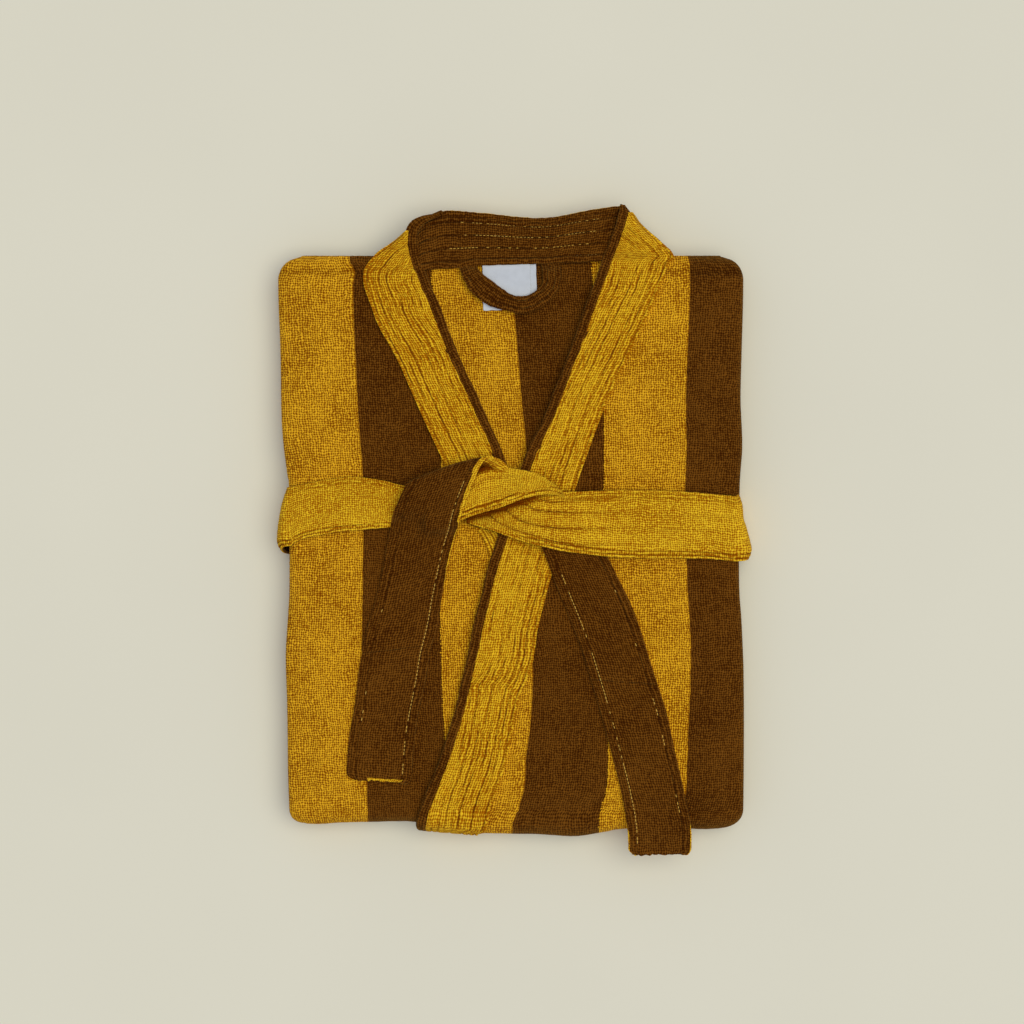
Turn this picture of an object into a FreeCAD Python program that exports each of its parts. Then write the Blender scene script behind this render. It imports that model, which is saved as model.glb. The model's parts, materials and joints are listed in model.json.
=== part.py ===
"""A striped terry bathrobe, folded into a flat packet and tied round the middle with its own belt.

Frame: +Z up, +Y towards the collar, +X to the right as seen from above. The origin is the middle of the
whole object's footprint, on the plane that the packet rests on. Left and right are the wearer's, so the
left front, which laps over the right one, lies on the +X side.

The robe is folded twice. Its sides are turned under, so each panel has a C-shaped section, and then its
lower half is turned under, so that section runs down the top of the packet, round the bottom fold and
back up the underside. A layer is placed by its radius: its distance from the fold's axis.
"""

import FreeCAD, Part
import math
import os

from FreeCAD import Vector

# ---- driving dimensions, mm -------------------------------------------------------------------------
SHEET = 2.2            # one layer of terry in the folded packet
GAP = 0.2              # air between two layers
PITCH = SHEET + GAP
HALF_WIDTH = 213.0     # half of the packet's width
Y_SHOULDER = 250.0     # the packet's shoulder end
Y_FOLD_AXIS = -258.0   # axis of the bottom fold
Y_HEM = 240.0          # hem, on the underside
FLAP_WIDTH = 90.0      # how far each side is turned under
CORE_HALF = 4.6        # half of the space between the two halves, where the sleeves lie

# inner radius of each layer, from the core outwards
R_FRONT_FLAP = CORE_HALF + GAP
R_BACK_FLAP = R_FRONT_FLAP + PITCH
R_BACK = R_BACK_FLAP + PITCH
R_RIGHT_FRONT = R_BACK + PITCH
R_RIGHT_BAND = R_RIGHT_FRONT + PITCH
R_LEFT_FRONT = R_RIGHT_BAND + PITCH
R_LEFT_BAND = R_LEFT_FRONT + PITCH
R_OUTER = R_LEFT_BAND + SHEET
Z_MID = R_OUTER        # height of the fold's axis, which puts the outermost layer on the rest plane

# front bands
BAND_WIDTH = 56.0      # across the band, measured along X
LIP_WIDTH = 9.0        # the facing that shows along the band's free edge
BAND_OVERLAP = 5.0     # how far the band laps over its panel
BAND_REACH = 160.0     # no part of a band lies further than this from the middle
FREE_EDGE_X_LOW = 88.0 # where the free edges cross the bottom fold

# sleeves, folded across the packet: length, flat width and where each one's shoulder end lies
SLEEVE_SIZE = (325.0, 160.0)
SLEEVE_X = 205.0

# pockets: nearest edge to the middle, width and corner radius
POCKET_X = 40.0
POCKET_WIDTH = 150.0
POCKET_CORNER = 12.0

# belt
BELT_WIDTH = 60.0
BELT_T = 3.2
BELT_Y = 6.0
BELT_TRAVEL = 25.0
CLEAR = 0.3            # gap between the belt and what it lies on
CHANNEL_DEPTH = BELT_T + 2 * CLEAR
RAMP = 10.0            # length of the slope at each end of the belt's channel
CHANNEL_HALF = BELT_WIDTH / 2 + BELT_TRAVEL + 2.0

# belt tails: centre line start, angle from -Y, and the length of the two parts
TAIL_WIDTH = 58.0
TAIL_GAP = 2.4         # open gap at each tail hinge
LEFT_TAIL_START = (-75.0, -31.0)
LEFT_TAIL_ANGLE = -13.0
LEFT_TAIL_PARTS = (98.0, 108.0)
LEFT_TAIL_SLOPE = (6.0, 34.0)   # where the left tail starts and stops falling from the knot to the robe
LEFT_ROOT = 92.0       # length of the left tail's fixed root, on top of the knot
RIGHT_TAIL_START = (65.0, -35.5)
RIGHT_TAIL_ANGLE = 14.5
RIGHT_TAIL_PARTS = (125.0, 138.6)

# neck
NECK_SEAM_Y = 243.0
NECK_HALF = 104.0      # half of the width that the back panel's end gives up to the collar
SEAM_GAP = 2.0         # from the back panel's end to the seam line at the neck
COLLAR_TOP_Y = 298.0
LOOP_T = 3.0
LABEL_SIZE = (50.0, 42.0, 0.4)
LABEL_X = -27.0        # the label's edge on the right shoulder's side
COLLAR_ROWS = 4        # rows of topstitching on the collar
COLLAR_ROW_PITCH = 10.5
THREAD_T = 0.4
THREAD_W = 0.8
THREAD_LIFT = 0.02     # air under a thread, and under anything that only rests on another piece
STITCH_INSET = 8.0     # from a belt edge to its line of stitching

OUT = "parts"


# ---- small helpers ----------------------------------------------------------------------------------
def box(x0, x1, y0, y1, z0, z1):
    return Part.makeBox(x1 - x0, y1 - y0, z1 - z0, Vector(x0, y0, z0))


def prism(points, z0, z1):
    """A prism on a closed outline; an outline's item is a corner, or a list of points for a smooth run."""
    edges = []
    last = None
    first = None
    for item in points:
        run = [Vector(*p, z0) for p in (item if isinstance(item, list) else [item])]
        if last is not None and (last - run[0]).Length > 1e-6:
            edges.append(Part.makeLine(last, run[0]))
        if len(run) > 1:
            curve = Part.BSplineCurve()
            curve.interpolate(run)
            edges.append(curve.toShape())
        first = first or run[0]
        last = run[-1]
    edges.append(Part.makeLine(last, first))
    return Part.Face(Part.Wire(edges)).extrude(Vector(0, 0, z1 - z0))


def fuse(solids):
    body = solids[0].fuse(solids[1:]) if len(solids) > 1 else solids[0]
    return body.removeSplitter()


def write(name, *solids):
    shape = solids[0] if len(solids) == 1 else Part.makeCompound(list(solids))
    shape.exportStep(os.path.join(OUT, name + ".step"))


# ---- folding ----------------------------------------------------------------------------------------
def fold(section, y_top=Y_SHOULDER, y_end=Y_HEM):
    """Carries a section, drawn in X and radius, down the packet's top, round the fold and up the underside.

    The section is a face in the plane Y = 0 with radius along Z. The underside steps inwards by the
    channel's depth where the belt crosses it."""
    top = section.copy()
    top.translate(Vector(0, y_top, Z_MID))
    pieces = [top.extrude(Vector(0, Y_FOLD_AXIS - y_top, 0))]
    top.translate(Vector(0, Y_FOLD_AXIS - y_top, 0))
    axis = Vector(0, Y_FOLD_AXIS, Z_MID)
    pieces.append(top.revolve(axis, Vector(1, 0, 0), 180))
    under = top.copy()
    under.rotate(axis, Vector(1, 0, 0), 180)
    y_in = BELT_Y - CHANNEL_HALF - RAMP
    steps = [
        (y_in - Y_FOLD_AXIS, 0),
        (RAMP, CHANNEL_DEPTH),
        (2 * CHANNEL_HALF, 0),
        (RAMP, -CHANNEL_DEPTH),
        (y_end - (y_in + 2 * RAMP + 2 * CHANNEL_HALF), 0),
    ]
    for dy, dz in steps:
        pieces.append(under.extrude(Vector(0, dy, dz)))
        under.translate(Vector(0, dy, dz))
    return fuse(pieces)


def plate_section(x0, x1, r0, r1):
    corners = [(x0, r0), (x1, r0), (x1, r1), (x0, r1), (x0, r0)]
    return Part.Face(Part.makePolygon([Vector(x, 0, r) for x, r in corners]))


def arc(x, r, radius, side):
    """Half circle about (x, r), from its top to its bottom, bulging towards side."""
    return Part.Arc(
        Vector(x, 0, r + radius), Vector(x + side * radius, 0, r), Vector(x, 0, r - radius)
    ).toShape()


def turned_under_section(side, r_in, r_flap, x_end):
    """A panel that runs in from x_end to one side of the packet and is turned under there."""
    r_out = r_in + SHEET
    flap_out = r_flap + SHEET
    outer = (r_out - r_flap) / 2
    inner = (r_in - flap_out) / 2
    x_arc = side * (HALF_WIDTH - outer)
    x_flap = side * (HALF_WIDTH - FLAP_WIDTH)
    mid = (r_out + r_flap) / 2
    edges = [
        Part.makeLine(Vector(x_end, 0, r_out), Vector(x_arc, 0, r_out)),
        arc(x_arc, mid, outer, side),
        Part.makeLine(Vector(x_arc, 0, r_flap), Vector(x_flap, 0, r_flap)),
        Part.makeLine(Vector(x_flap, 0, r_flap), Vector(x_flap, 0, flap_out)),
        Part.makeLine(Vector(x_flap, 0, flap_out), Vector(x_arc, 0, flap_out)),
        arc(x_arc, mid, inner, side),
        Part.makeLine(Vector(x_arc, 0, r_in), Vector(x_end, 0, r_in)),
        Part.makeLine(Vector(x_end, 0, r_in), Vector(x_end, 0, r_out)),
    ]
    return Part.Face(Part.Wire(Part.__sortEdges__(edges)))


def region(outline, x_low, x_high):
    """What to keep of a folded layer: an outline on the packet's top, and a range of X beyond the fold."""
    far = 400.0
    return fuse([
        prism(outline, Z_MID, Z_MID + 2 * R_OUTER),
        box(x_low, x_high, Y_FOLD_AXIS - far, Y_FOLD_AXIS, -far, far),
        box(x_low, x_high, Y_FOLD_AXIS - 1.0, far, -far, Z_MID),
    ])


# ---- the front edges --------------------------------------------------------------------------------
# free edge of each front band on the packet's top, from the neck down to the bottom fold
LEFT_FREE = [
    (84.0, Y_SHOULDER), (52.0, 163.0), (14.0, 72.0), (-29.0, -65.0), (-50.0, -165.0),
    (-FREE_EDGE_X_LOW, Y_FOLD_AXIS),
]
RIGHT_FREE = [
    (-79.0, Y_SHOULDER), (-50.0, 163.0), (-10.0, 72.0), (22.0, -30.0), (55.0, -150.0),
    (FREE_EDGE_X_LOW, Y_FOLD_AXIS),
]


# where each band turns over into the collar: its corner on the free edge, and how far it falls to the seam
LEFT_CORNER = (100.0, 296.0)
RIGHT_CORNER = (-92.0, 286.0)


def shifted(edge, dx):
    return [(x + dx, y) for x, y in edge]


def run_up(edge, corner, dx):
    """The point where a shifted edge meets its band's slanting end, past the shoulder, in a list.

    The list is empty for an edge that starts at the shoulder."""
    share = abs(dx) / BAND_WIDTH
    if share >= 1.0:
        return []
    seam = (edge[0][0] + math.copysign(BAND_WIDTH, dx), edge[0][1])
    return [tuple(c + (s - c) * share for c, s in zip(corner, seam))]


def strip(edge, corner, dx0, dx1):
    """Outline of the strip between two copies of an edge, shifted along X."""
    down = run_up(edge, corner, dx0) + [shifted(edge, dx0)]
    up = [list(reversed(shifted(edge, dx1)))] + run_up(edge, corner, dx1)
    return down + up


def panel_outline(edge, dx, side):
    """Outline of everything on one side of an edge."""
    far = side * (HALF_WIDTH + 20.0)
    return [shifted(edge, dx), (far, Y_FOLD_AXIS), (far, Y_SHOULDER)]


# ---- panels -----------------------------------------------------------------------------------------
def front_panels():
    left = fold(turned_under_section(1, R_LEFT_FRONT, R_FRONT_FLAP, -BAND_REACH))
    seam = -FREE_EDGE_X_LOW + BAND_WIDTH
    left = left.common(region(panel_outline(LEFT_FREE, BAND_WIDTH, 1), seam, 400.0))
    right = fold(turned_under_section(-1, R_RIGHT_FRONT, R_FRONT_FLAP, BAND_REACH))
    seam = FREE_EDGE_X_LOW - BAND_WIDTH
    right = right.common(region(panel_outline(RIGHT_FREE, -BAND_WIDTH, -1), -400.0, seam))
    write("left_front_panel", left)
    write("right_front_panel", right)


def back_panel():
    """The back, with both of its sides turned under against it."""
    outer = (R_BACK + SHEET - R_BACK_FLAP) / 2
    mid = R_BACK_FLAP + outer
    x_arc = HALF_WIDTH - (R_LEFT_FRONT + SHEET - R_FRONT_FLAP) / 2
    x_flap = HALF_WIDTH - FLAP_WIDTH
    flap_out = R_BACK_FLAP + SHEET
    edges = [Part.makeLine(Vector(-x_arc, 0, R_BACK + SHEET), Vector(x_arc, 0, R_BACK + SHEET))]
    for side in (1, -1):
        corners = [
            (x_arc, R_BACK_FLAP), (x_flap, R_BACK_FLAP), (x_flap, flap_out),
            (x_arc, flap_out), (x_arc, R_BACK),
        ]
        run = [Vector(side * x, 0, r) for x, r in corners]
        edges.append(arc(side * x_arc, mid, outer, side))
        edges += [Part.makeLine(a, b) for a, b in zip(run, run[1:])]
    edges.append(Part.makeLine(Vector(-x_arc, 0, R_BACK), Vector(x_arc, 0, R_BACK)))
    y_neck = NECK_SEAM_Y + SEAM_GAP
    neck = box(-NECK_HALF, NECK_HALF, y_neck, Y_SHOULDER + 1.0, Z_MID, Z_MID + 2 * R_OUTER)
    write("back_panel", fold(Part.Face(Part.Wire(Part.__sortEdges__(edges)))).cut(neck))


def front_bands():
    """Each front edge has an outer band and a facing, which shows as a lip along the free edge."""
    for name, edge, corner, side, r in (
        ("left", LEFT_FREE, LEFT_CORNER, 1, R_LEFT_FRONT),
        ("right", RIGHT_FREE, RIGHT_CORNER, -1, R_RIGHT_FRONT),
    ):
        layers = [
            ((0, BAND_WIDTH - GAP), (r, r + SHEET)),
            ((0, LIP_WIDTH), (r, r + PITCH + SHEET)),
            ((LIP_WIDTH + GAP, BAND_WIDTH + BAND_OVERLAP), (r + PITCH, r + PITCH + SHEET)),
        ]
        solids = []
        for (d0, d1), (r0, r1) in layers:
            layer = fold(plate_section(-BAND_REACH, BAND_REACH, r0, r1), COLLAR_TOP_Y)
            low, high = sorted((side * (d0 - FREE_EDGE_X_LOW), side * (d1 - FREE_EDGE_X_LOW)))
            keep = region(strip(edge, corner, side * d0, side * d1), low, high)
            solids.append(layer.common(keep))
        write(f"{name}_band_facing", fuse(solids[:2]))
        write(f"{name}_front_band", solids[2])


# the collar's top edge, from the left front's corner to the right front's
COLLAR_TOP = [
    (101.0, COLLAR_TOP_Y), (66.0, 292.0), (25.0, 287.5), (-27.0, 291.0), (-60.0, 294.0), (-90.0, 284.0),
    (-97.0, 270.0),
]


def collar():
    """The band behind the neck, lying flat beyond the shoulders, with its rows of topstitching."""
    y0 = NECK_SEAM_Y + SEAM_GAP + GAP
    outline = [(82.0, y0), COLLAR_TOP, (-80.0, y0)]
    z_outer = Z_MID + R_BACK_FLAP
    z_facing = Z_MID + R_BACK
    write("collar_band", prism(outline, z_outer, z_outer + SHEET))
    write("collar_facing", prism(outline, z_facing, z_facing + SHEET))
    z_thread = z_facing + SHEET + THREAD_LIFT
    threads = []
    for row in range(COLLAR_ROWS):
        y = NECK_SEAM_Y + STITCH_INSET + row * COLLAR_ROW_PITCH
        threads.append(box(-72.0, 78.0, y, y + THREAD_W, z_thread, z_thread + THREAD_T))
    write("collar_topstitch", *threads)


def neck_label():
    width, depth, thick = LABEL_SIZE
    z = Z_MID + R_BACK + SHEET + GAP
    y1 = NECK_SEAM_Y - 1.0
    write("neck_label", box(LABEL_X, LABEL_X + width, y1 - depth, y1, z, z + thick))


def sleeves():
    """Two flattened tubes between the halves of the packet, folded across it one above the other."""
    length, width = SLEEVE_SIZE
    y0 = BELT_Y + CHANNEL_HALF + RAMP + 5.0
    height = CORE_HALF - 1.5 * GAP
    for name, x0, z0 in (
        ("left_sleeve", -SLEEVE_X, Z_MID + GAP / 2),
        ("right_sleeve", SLEEVE_X - length, Z_MID - GAP / 2 - height),
    ):
        tube = box(x0, x0 + length, y0, y0 + width, z0, z0 + height)
        long_edges = [e for e in tube.Edges if abs(e.Vertexes[0].X - e.Vertexes[1].X) > 1.0]
        tube = tube.makeFillet(height * 0.45, long_edges)
        z_slit = z0 + (height - GAP) / 2
        y_slit = y0 + SHEET + GAP
        hollow = box(x0 - 1, x0 + length + 1, y_slit, y0 + width - SHEET - GAP, z_slit, z_slit + GAP)
        write(name, tube.cut(hollow))


def pockets():
    """A patch pocket on each front, on the underside just beyond the bottom fold."""
    y0 = Y_FOLD_AXIS + 16.0
    y1 = BELT_Y - CHANNEL_HALF - RAMP - POCKET_CORNER
    for name, side, r in (("left_pocket", 1, R_LEFT_BAND), ("right_pocket", -1, R_RIGHT_BAND)):
        xa, xb = sorted((side * POCKET_X, side * (POCKET_X + POCKET_WIDTH)))
        z1 = Z_MID - r
        pocket = box(xa, xb, y0, y1, z1 - SHEET, z1)
        rounded = [
            e for e in pocket.Edges
            if abs(e.Vertexes[0].Z - e.Vertexes[1].Z) > 1.0 and e.Vertexes[0].Y > y1 - 1.0
        ]
        write(name, pocket.makeFillet(POCKET_CORNER, rounded))


def side_seam_items():
    """A belt loop on each side seam and the care label, all inside the turned-under sides."""
    seam_x = HALF_WIDTH - FLAP_WIDTH
    z1 = Z_MID + R_FRONT_FLAP - GAP
    thick = 1.2
    for name, side in (("left_belt_loop", 1), ("right_belt_loop", -1)):
        xa, xb = sorted((side * (seam_x + 3.0), side * (seam_x + 11.0)))
        write(name, box(xa, xb, -150.0, -90.0, z1 - thick, z1))
    write("care_label", box(seam_x + 4.0, seam_x + 34.0, -230.0, -180.0, z1 - 0.4, z1))


# ---- belt -------------------------------------------------------------------------------------------
def rounded_ring_section(x, z0, z1, radius):
    """A rounded rectangle in the plane Y = 0."""
    corner = Part.makeBox(2 * x, 1.0, z1 - z0, Vector(-x, 0, z0))
    edges = [e for e in corner.Edges if abs(e.Vertexes[0].Y - e.Vertexes[1].Y) > 0.5]
    return corner.makeFillet(radius, edges)


def belt_wrap():
    """The belt round the packet: over the top, down both sides and along the channel underneath."""
    z_top = Z_MID + R_OUTER + CLEAR
    z_under = CLEAR + BELT_T
    inner_r = 8.0
    inside = rounded_ring_section(HALF_WIDTH + CLEAR, z_under, z_top, inner_r)
    x_out = HALF_WIDTH + CLEAR + BELT_T
    outside = rounded_ring_section(x_out, CLEAR, z_top + BELT_T, inner_r + BELT_T)
    solids = []
    for solid in (outside, inside):
        face = next(f for f in solid.Faces if abs(f.CenterOfMass.y) < 1e-6)
        solids.append(face.extrude(Vector(0, BELT_WIDTH, 0)))
    ring = solids[0].cut(solids[1])
    ring.translate(Vector(0, BELT_Y - BELT_WIDTH / 2, 0))
    write("belt_wrap", ring)


# outline of the strand that crosses over the other one in the knot
KNOT = [(-46.0, -4.0), (34.0, 24.0), (46.0, 36.0), (30.0, 46.0), (-8.0, 58.0), (-46.0, 44.0)]


def belt_knot():
    """The half knot, where one end crosses over the other, and the root of the left tail on top of it.

    Returns the height of the root's underside."""
    z0 = Z_MID + R_OUTER + CLEAR + BELT_T + THREAD_LIFT
    write("belt_knot", prism(KNOT, z0, z0 + BELT_T))
    direction, across = tail_axes(LEFT_TAIL_ANGLE)
    start = Vector(*LEFT_TAIL_START, 0)
    root_z = z0 + BELT_T + THREAD_LIFT
    root = level_strap(-LEFT_ROOT, -TAIL_GAP, root_z, BELT_T)
    write("belt_left_tail_root", strap_prism(root, start, direction, across))
    return root_z


def tail_axes(angle):
    a = math.radians(angle)
    direction = Vector(math.sin(a), -math.cos(a), 0)
    return direction, Vector(math.cos(a), math.sin(a), 0)


def level_strap(s0, s1, z, thick):
    """Profile of a strap that lies level between two distances along its tail."""
    return [(s0, z), (s1, z), (s1, z + thick), (s0, z + thick)]


def strap_prism(profile, start, direction, across, half=TAIL_WIDTH / 2):
    """A strap: a profile in distance along the tail and height, as wide as the belt."""
    points = [start + direction * s + Vector(0, 0, z) - across * half for s, z in profile]
    face = Part.Face(Part.makePolygon(points + [points[0]]))
    return face.extrude(across * (2 * half))


def hinge_roll(start, direction, across, s, z):
    """The rounded end of a strap, about its hinge axis."""
    centre = start + direction * s + Vector(0, 0, z) - across * (TAIL_WIDTH / 2)
    return Part.makeCylinder(BELT_T / 2, TAIL_WIDTH, centre, across)


def tail(name, start_xy, angle, parts, z_start, z_rest, slope=None):
    """A belt tail in two parts, each with a rounded end on its hinge, and its two lines of stitching.

    With a slope, given as where it starts and ends, the tail falls from z_start to z_rest."""
    direction, across = tail_axes(angle)
    start = Vector(*start_xy, 0)
    first, second = parts
    t = BELT_T
    upper = level_strap(0, first - TAIL_GAP, z_rest, t)
    s_flat = 0.0
    if slope:
        s_fall, s_flat = slope
        underside = [(0, z_start), (s_fall, z_start), (s_flat, z_rest), (first - TAIL_GAP, z_rest)]
        upper = underside + [(s, z + t) for s, z in reversed(underside)]
    lower = level_strap(first, first + second, z_rest, t)
    rolls = [
        hinge_roll(start, direction, across, 0, z_start + t / 2),
        hinge_roll(start, direction, across, first, z_rest + t / 2),
    ]
    write(f"belt_{name}_tail_upper", fuse([strap_prism(upper, start, direction, across), rolls[0]]))
    write(f"belt_{name}_tail_lower", fuse([strap_prism(lower, start, direction, across), rolls[1]]))
    z = z_rest + t + THREAD_LIFT
    for part, s0, s1 in (
        ("upper", s_flat + STITCH_INSET / 2, first - STITCH_INSET),
        ("lower", first + STITCH_INSET, first + second - STITCH_INSET),
    ):
        lines = []
        for edge in (-1, 1):
            middle = start + across * (edge * (TAIL_WIDTH / 2 - STITCH_INSET))
            profile = level_strap(s0, s1, z, THREAD_T)
            lines.append(strap_prism(profile, middle, direction, across, THREAD_W / 2))
        write(f"belt_{name}_tail_{part}_stitching", *lines)


# ---- hanging loop -----------------------------------------------------------------------------------
# the loop's outer and inner edges, from one end at the neck seam to the other
LOOP_OUTER = [
    (-48.0, NECK_SEAM_Y), (-40.0, 222.0), (-15.0, 203.0), (12.0, 198.0), (34.0, 206.0), (43.0, 222.0),
    (45.0, NECK_SEAM_Y),
]
LOOP_INNER = [
    (28.0, NECK_SEAM_Y), (26.0, 224.0), (8.0, 214.5), (-14.0, 220.0), (-28.0, 232.0), (-32.0, NECK_SEAM_Y),
]


def hanging_loop():
    """A narrow strap sewn into the neck seam at both ends, lying down over the label.

    Returns the height of its hinge."""
    z0 = Z_MID + R_BACK + SHEET + GAP + LABEL_SIZE[2] + GAP
    z_hinge = z0 + LOOP_T / 2
    solids = [prism([LOOP_OUTER, LOOP_INNER], z0, z0 + LOOP_T)]
    for (x0, y), (x1, _) in ((LOOP_OUTER[0], LOOP_INNER[-1]), (LOOP_INNER[0], LOOP_OUTER[-1])):
        solids.append(Part.makeCylinder(LOOP_T / 2, x1 - x0, Vector(x0, y, z_hinge), Vector(1, 0, 0)))
    write("hanging_loop", fuse(solids))
    return z_hinge


# ---- build ------------------------------------------------------------------------------------------
os.makedirs(OUT, exist_ok=True)
front_panels()
back_panel()
front_bands()
collar()
neck_label()
sleeves()
pockets()
side_seam_items()
belt_wrap()
knot_root_z = belt_knot()
loop_hinge_z = hanging_loop()
LEFT_REST_Z = Z_MID + R_RIGHT_FRONT + SHEET + CLEAR
RIGHT_REST_Z = Z_MID + R_OUTER + CLEAR
tail("left", LEFT_TAIL_START, LEFT_TAIL_ANGLE, LEFT_TAIL_PARTS, knot_root_z, LEFT_REST_Z, LEFT_TAIL_SLOPE)
tail("right", RIGHT_TAIL_START, RIGHT_TAIL_ANGLE, RIGHT_TAIL_PARTS, RIGHT_REST_Z, RIGHT_REST_Z)

for label, value in (
    ("z of the fold axis", Z_MID),
    ("loop hinge z", loop_hinge_z),
    ("left lift hinge z", knot_root_z + BELT_T / 2),
    ("left curl hinge z", LEFT_REST_Z + BELT_T / 2),
    ("right hinge z", RIGHT_REST_Z + BELT_T / 2),
):
    print(f"{label}: {value:.3f} mm")
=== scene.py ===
"""The looks of a striped terry bathrobe, folded into a packet and tied with its belt.

Lengths are in mm in the frame's axes, and become metres when a mesh is made. A cloth is a grid of points:
its rows run along the cloth, its columns across it. u is a distance across a cloth, and v one along it:
down the packet from its shoulder end, or along a strap from its hidden end.
"""
import json
import math

import bpy
import numpy as np
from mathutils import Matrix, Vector


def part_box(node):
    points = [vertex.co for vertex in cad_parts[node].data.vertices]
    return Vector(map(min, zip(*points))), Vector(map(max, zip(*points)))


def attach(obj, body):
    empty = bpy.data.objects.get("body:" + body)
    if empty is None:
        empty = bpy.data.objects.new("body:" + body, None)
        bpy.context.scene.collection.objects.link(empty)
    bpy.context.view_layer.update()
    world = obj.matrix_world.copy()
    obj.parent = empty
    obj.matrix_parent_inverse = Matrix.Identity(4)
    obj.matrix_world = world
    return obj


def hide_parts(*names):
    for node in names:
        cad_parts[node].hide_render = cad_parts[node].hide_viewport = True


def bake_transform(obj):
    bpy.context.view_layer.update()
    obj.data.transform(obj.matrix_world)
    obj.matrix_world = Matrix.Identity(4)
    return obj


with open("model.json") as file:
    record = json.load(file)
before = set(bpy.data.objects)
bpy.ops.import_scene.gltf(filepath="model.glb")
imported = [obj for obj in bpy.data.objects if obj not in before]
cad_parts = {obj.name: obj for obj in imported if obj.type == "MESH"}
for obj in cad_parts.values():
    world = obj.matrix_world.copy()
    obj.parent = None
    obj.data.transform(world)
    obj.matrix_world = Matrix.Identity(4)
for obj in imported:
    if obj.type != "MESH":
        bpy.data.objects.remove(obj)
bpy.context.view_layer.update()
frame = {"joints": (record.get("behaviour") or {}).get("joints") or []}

MM = 0.001


# ---- sizes, from the frame ----
def extent(node):
    """Lowest and highest corners of a CAD node, in mm."""
    low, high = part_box(node)
    return np.array(low) / MM, np.array(high) / MM


def joint_at(name):
    """Place of a joint, in mm."""
    joint = next(j for j in frame["joints"] if j["name"] == name)
    return np.array(joint["pos_m"]) / MM


SHEET = 2.2                                   # thickness of one layer of terry
STRAP = 3.2                                   # thickness of the doubled belt
STRIPE = 74.0                                 # width of one of the cloth's stripes
Z_MID = extent("left_front_band")[1][2] / 2   # height of the bottom fold's axis
AXIS_Y = extent("left_front_band")[0][1] + Z_MID
SHOULDER_Y = extent("left_front_panel")[1][1]
HEM_Y = SHOULDER_Y - 10.0                     # the hem, on the underside
HALF_WIDTH = extent("left_front_panel")[1][0]
TOP_RUN = SHOULDER_Y - AXIS_Y                 # down the packet's top
TURN_RUN = math.pi * 16.0                     # round the bottom fold
BELT_LOW_Y, BELT_HIGH_Y = extent("belt_wrap")[0][1], extent("belt_wrap")[1][1]
BELT_TRAVEL = max(j["range_m"][1] for j in frame["joints"] if j["type"] == "slide") / MM
BELT_PRESS = 3.8                              # how far the belt presses in the underside


def layer_radius(node):
    """Distance from the fold's axis to the middle of a CAD layer."""
    return extent(node)[1][2] - Z_MID - SHEET / 2


R_BACK = layer_radius("back_panel")
R_RIGHT_FRONT = layer_radius("right_front_panel")
R_RIGHT_BAND = layer_radius("right_front_band")
R_LEFT_FRONT = layer_radius("left_front_panel")
R_LEFT_BAND = layer_radius("left_front_band")


# ---- numbers ----
def smooth_line(points, per_span=14):
    """A dense smooth line through the given points, of any dimension."""
    p = np.array(points, float)
    p = np.vstack([2 * p[0] - p[1], p, 2 * p[-1] - p[-2]])
    t = np.linspace(0, 1, per_span, endpoint=False)[:, None]
    spans = []
    for a, b, c, d in zip(p, p[1:], p[2:], p[3:]):
        spans.append(b + 0.5 * t * ((c - a) + t * ((2 * a - 5 * b + 4 * c - d) + t * (3 * (b - c) + d - a))))
    return np.vstack(spans + [p[-2:-1]])


def run_length(points):
    """Distance along a line at each of its points."""
    return np.concatenate([[0], np.cumsum(np.linalg.norm(np.diff(points, axis=0), axis=1))])


def read_line(points, run, at):
    """The numbers of a line's points at any distance along it."""
    return [np.interp(at, run, column) for column in points.T]


def sampled(points, share):
    """Points of a smooth line at the given shares, from 0 to 1, of its length."""
    fine = smooth_line(points)
    run = run_length(fine)
    return np.stack(read_line(fine, run, share * run[-1]), -1)


def along(points):
    """A function that reads the second number of a smooth line at any value of the first, which grows."""
    fine = smooth_line(points)
    return lambda v: np.interp(v, fine[:, 0], fine[:, 1])


def step_up(x, low, high):
    """0 below low, 1 above high, and smooth between them."""
    t = np.clip((x - low) / (high - low), 0, 1)
    return t * t * (3 - 2 * t)


def bell(x, width):
    """1 at 0, and smoothly less on both sides."""
    return np.exp(-(x / width) ** 2)


def corner_inset(to_end, radius):
    """How far a rounded corner stands in from the side, by the distance to the end."""
    drop = np.clip(radius - to_end, 0, radius)
    return radius - np.sqrt(np.maximum(radius ** 2 - drop ** 2, 0))


def grid_of(*values):
    """A grid of vectors from values that broadcast together."""
    return np.stack(np.broadcast_arrays(*values), -1)


def random01(i, j, seed):
    """A number from 0 to 1 that is always the same for the same place and seed."""
    n = np.sin(i * 127.1 + j * 311.7 + seed * 74.7) * 43758.5453
    return n - np.floor(n)


def noise(u, v, size, seed=0):
    """Smooth noise from -1 to 1, with lumps about size across."""
    a, b = u / size, v / size
    i, j = np.floor(a), np.floor(b)
    f, g = step_up(a - i, 0, 1), step_up(b - j, 0, 1)
    low = random01(i, j, seed) * (1 - f) + random01(i + 1, j, seed) * f
    high = random01(i, j + 1, seed) * (1 - f) + random01(i + 1, j + 1, seed) * f
    return 2 * (low * (1 - g) + high * g) - 1


NEAR_RIM = np.array([0, 0.13, 0.4, 0.7])         # shares of a rim's width


def stations(length, step, rim=1.2):
    """Distances from 0 to length, about one step apart and closer together at both rims."""
    inner = np.linspace(rim, length - rim, max(2, int(round((length - 2 * rim) / step)) + 1))
    near = rim * NEAR_RIM
    return np.concatenate([near, inner, length - near[::-1]])


def blurred(z, passes=1):
    """A grid smoothed by a 3 by 3 tent, edges kept."""
    for _ in range(passes):
        for axis in (0, 1):
            p = np.swapaxes(z, 0, axis)
            q = np.concatenate([p[:1], p, p[-1:]])
            z = np.swapaxes((q[:-2] + 2 * q[1:-1] + q[2:]) / 4, 0, axis)
    return z


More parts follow.
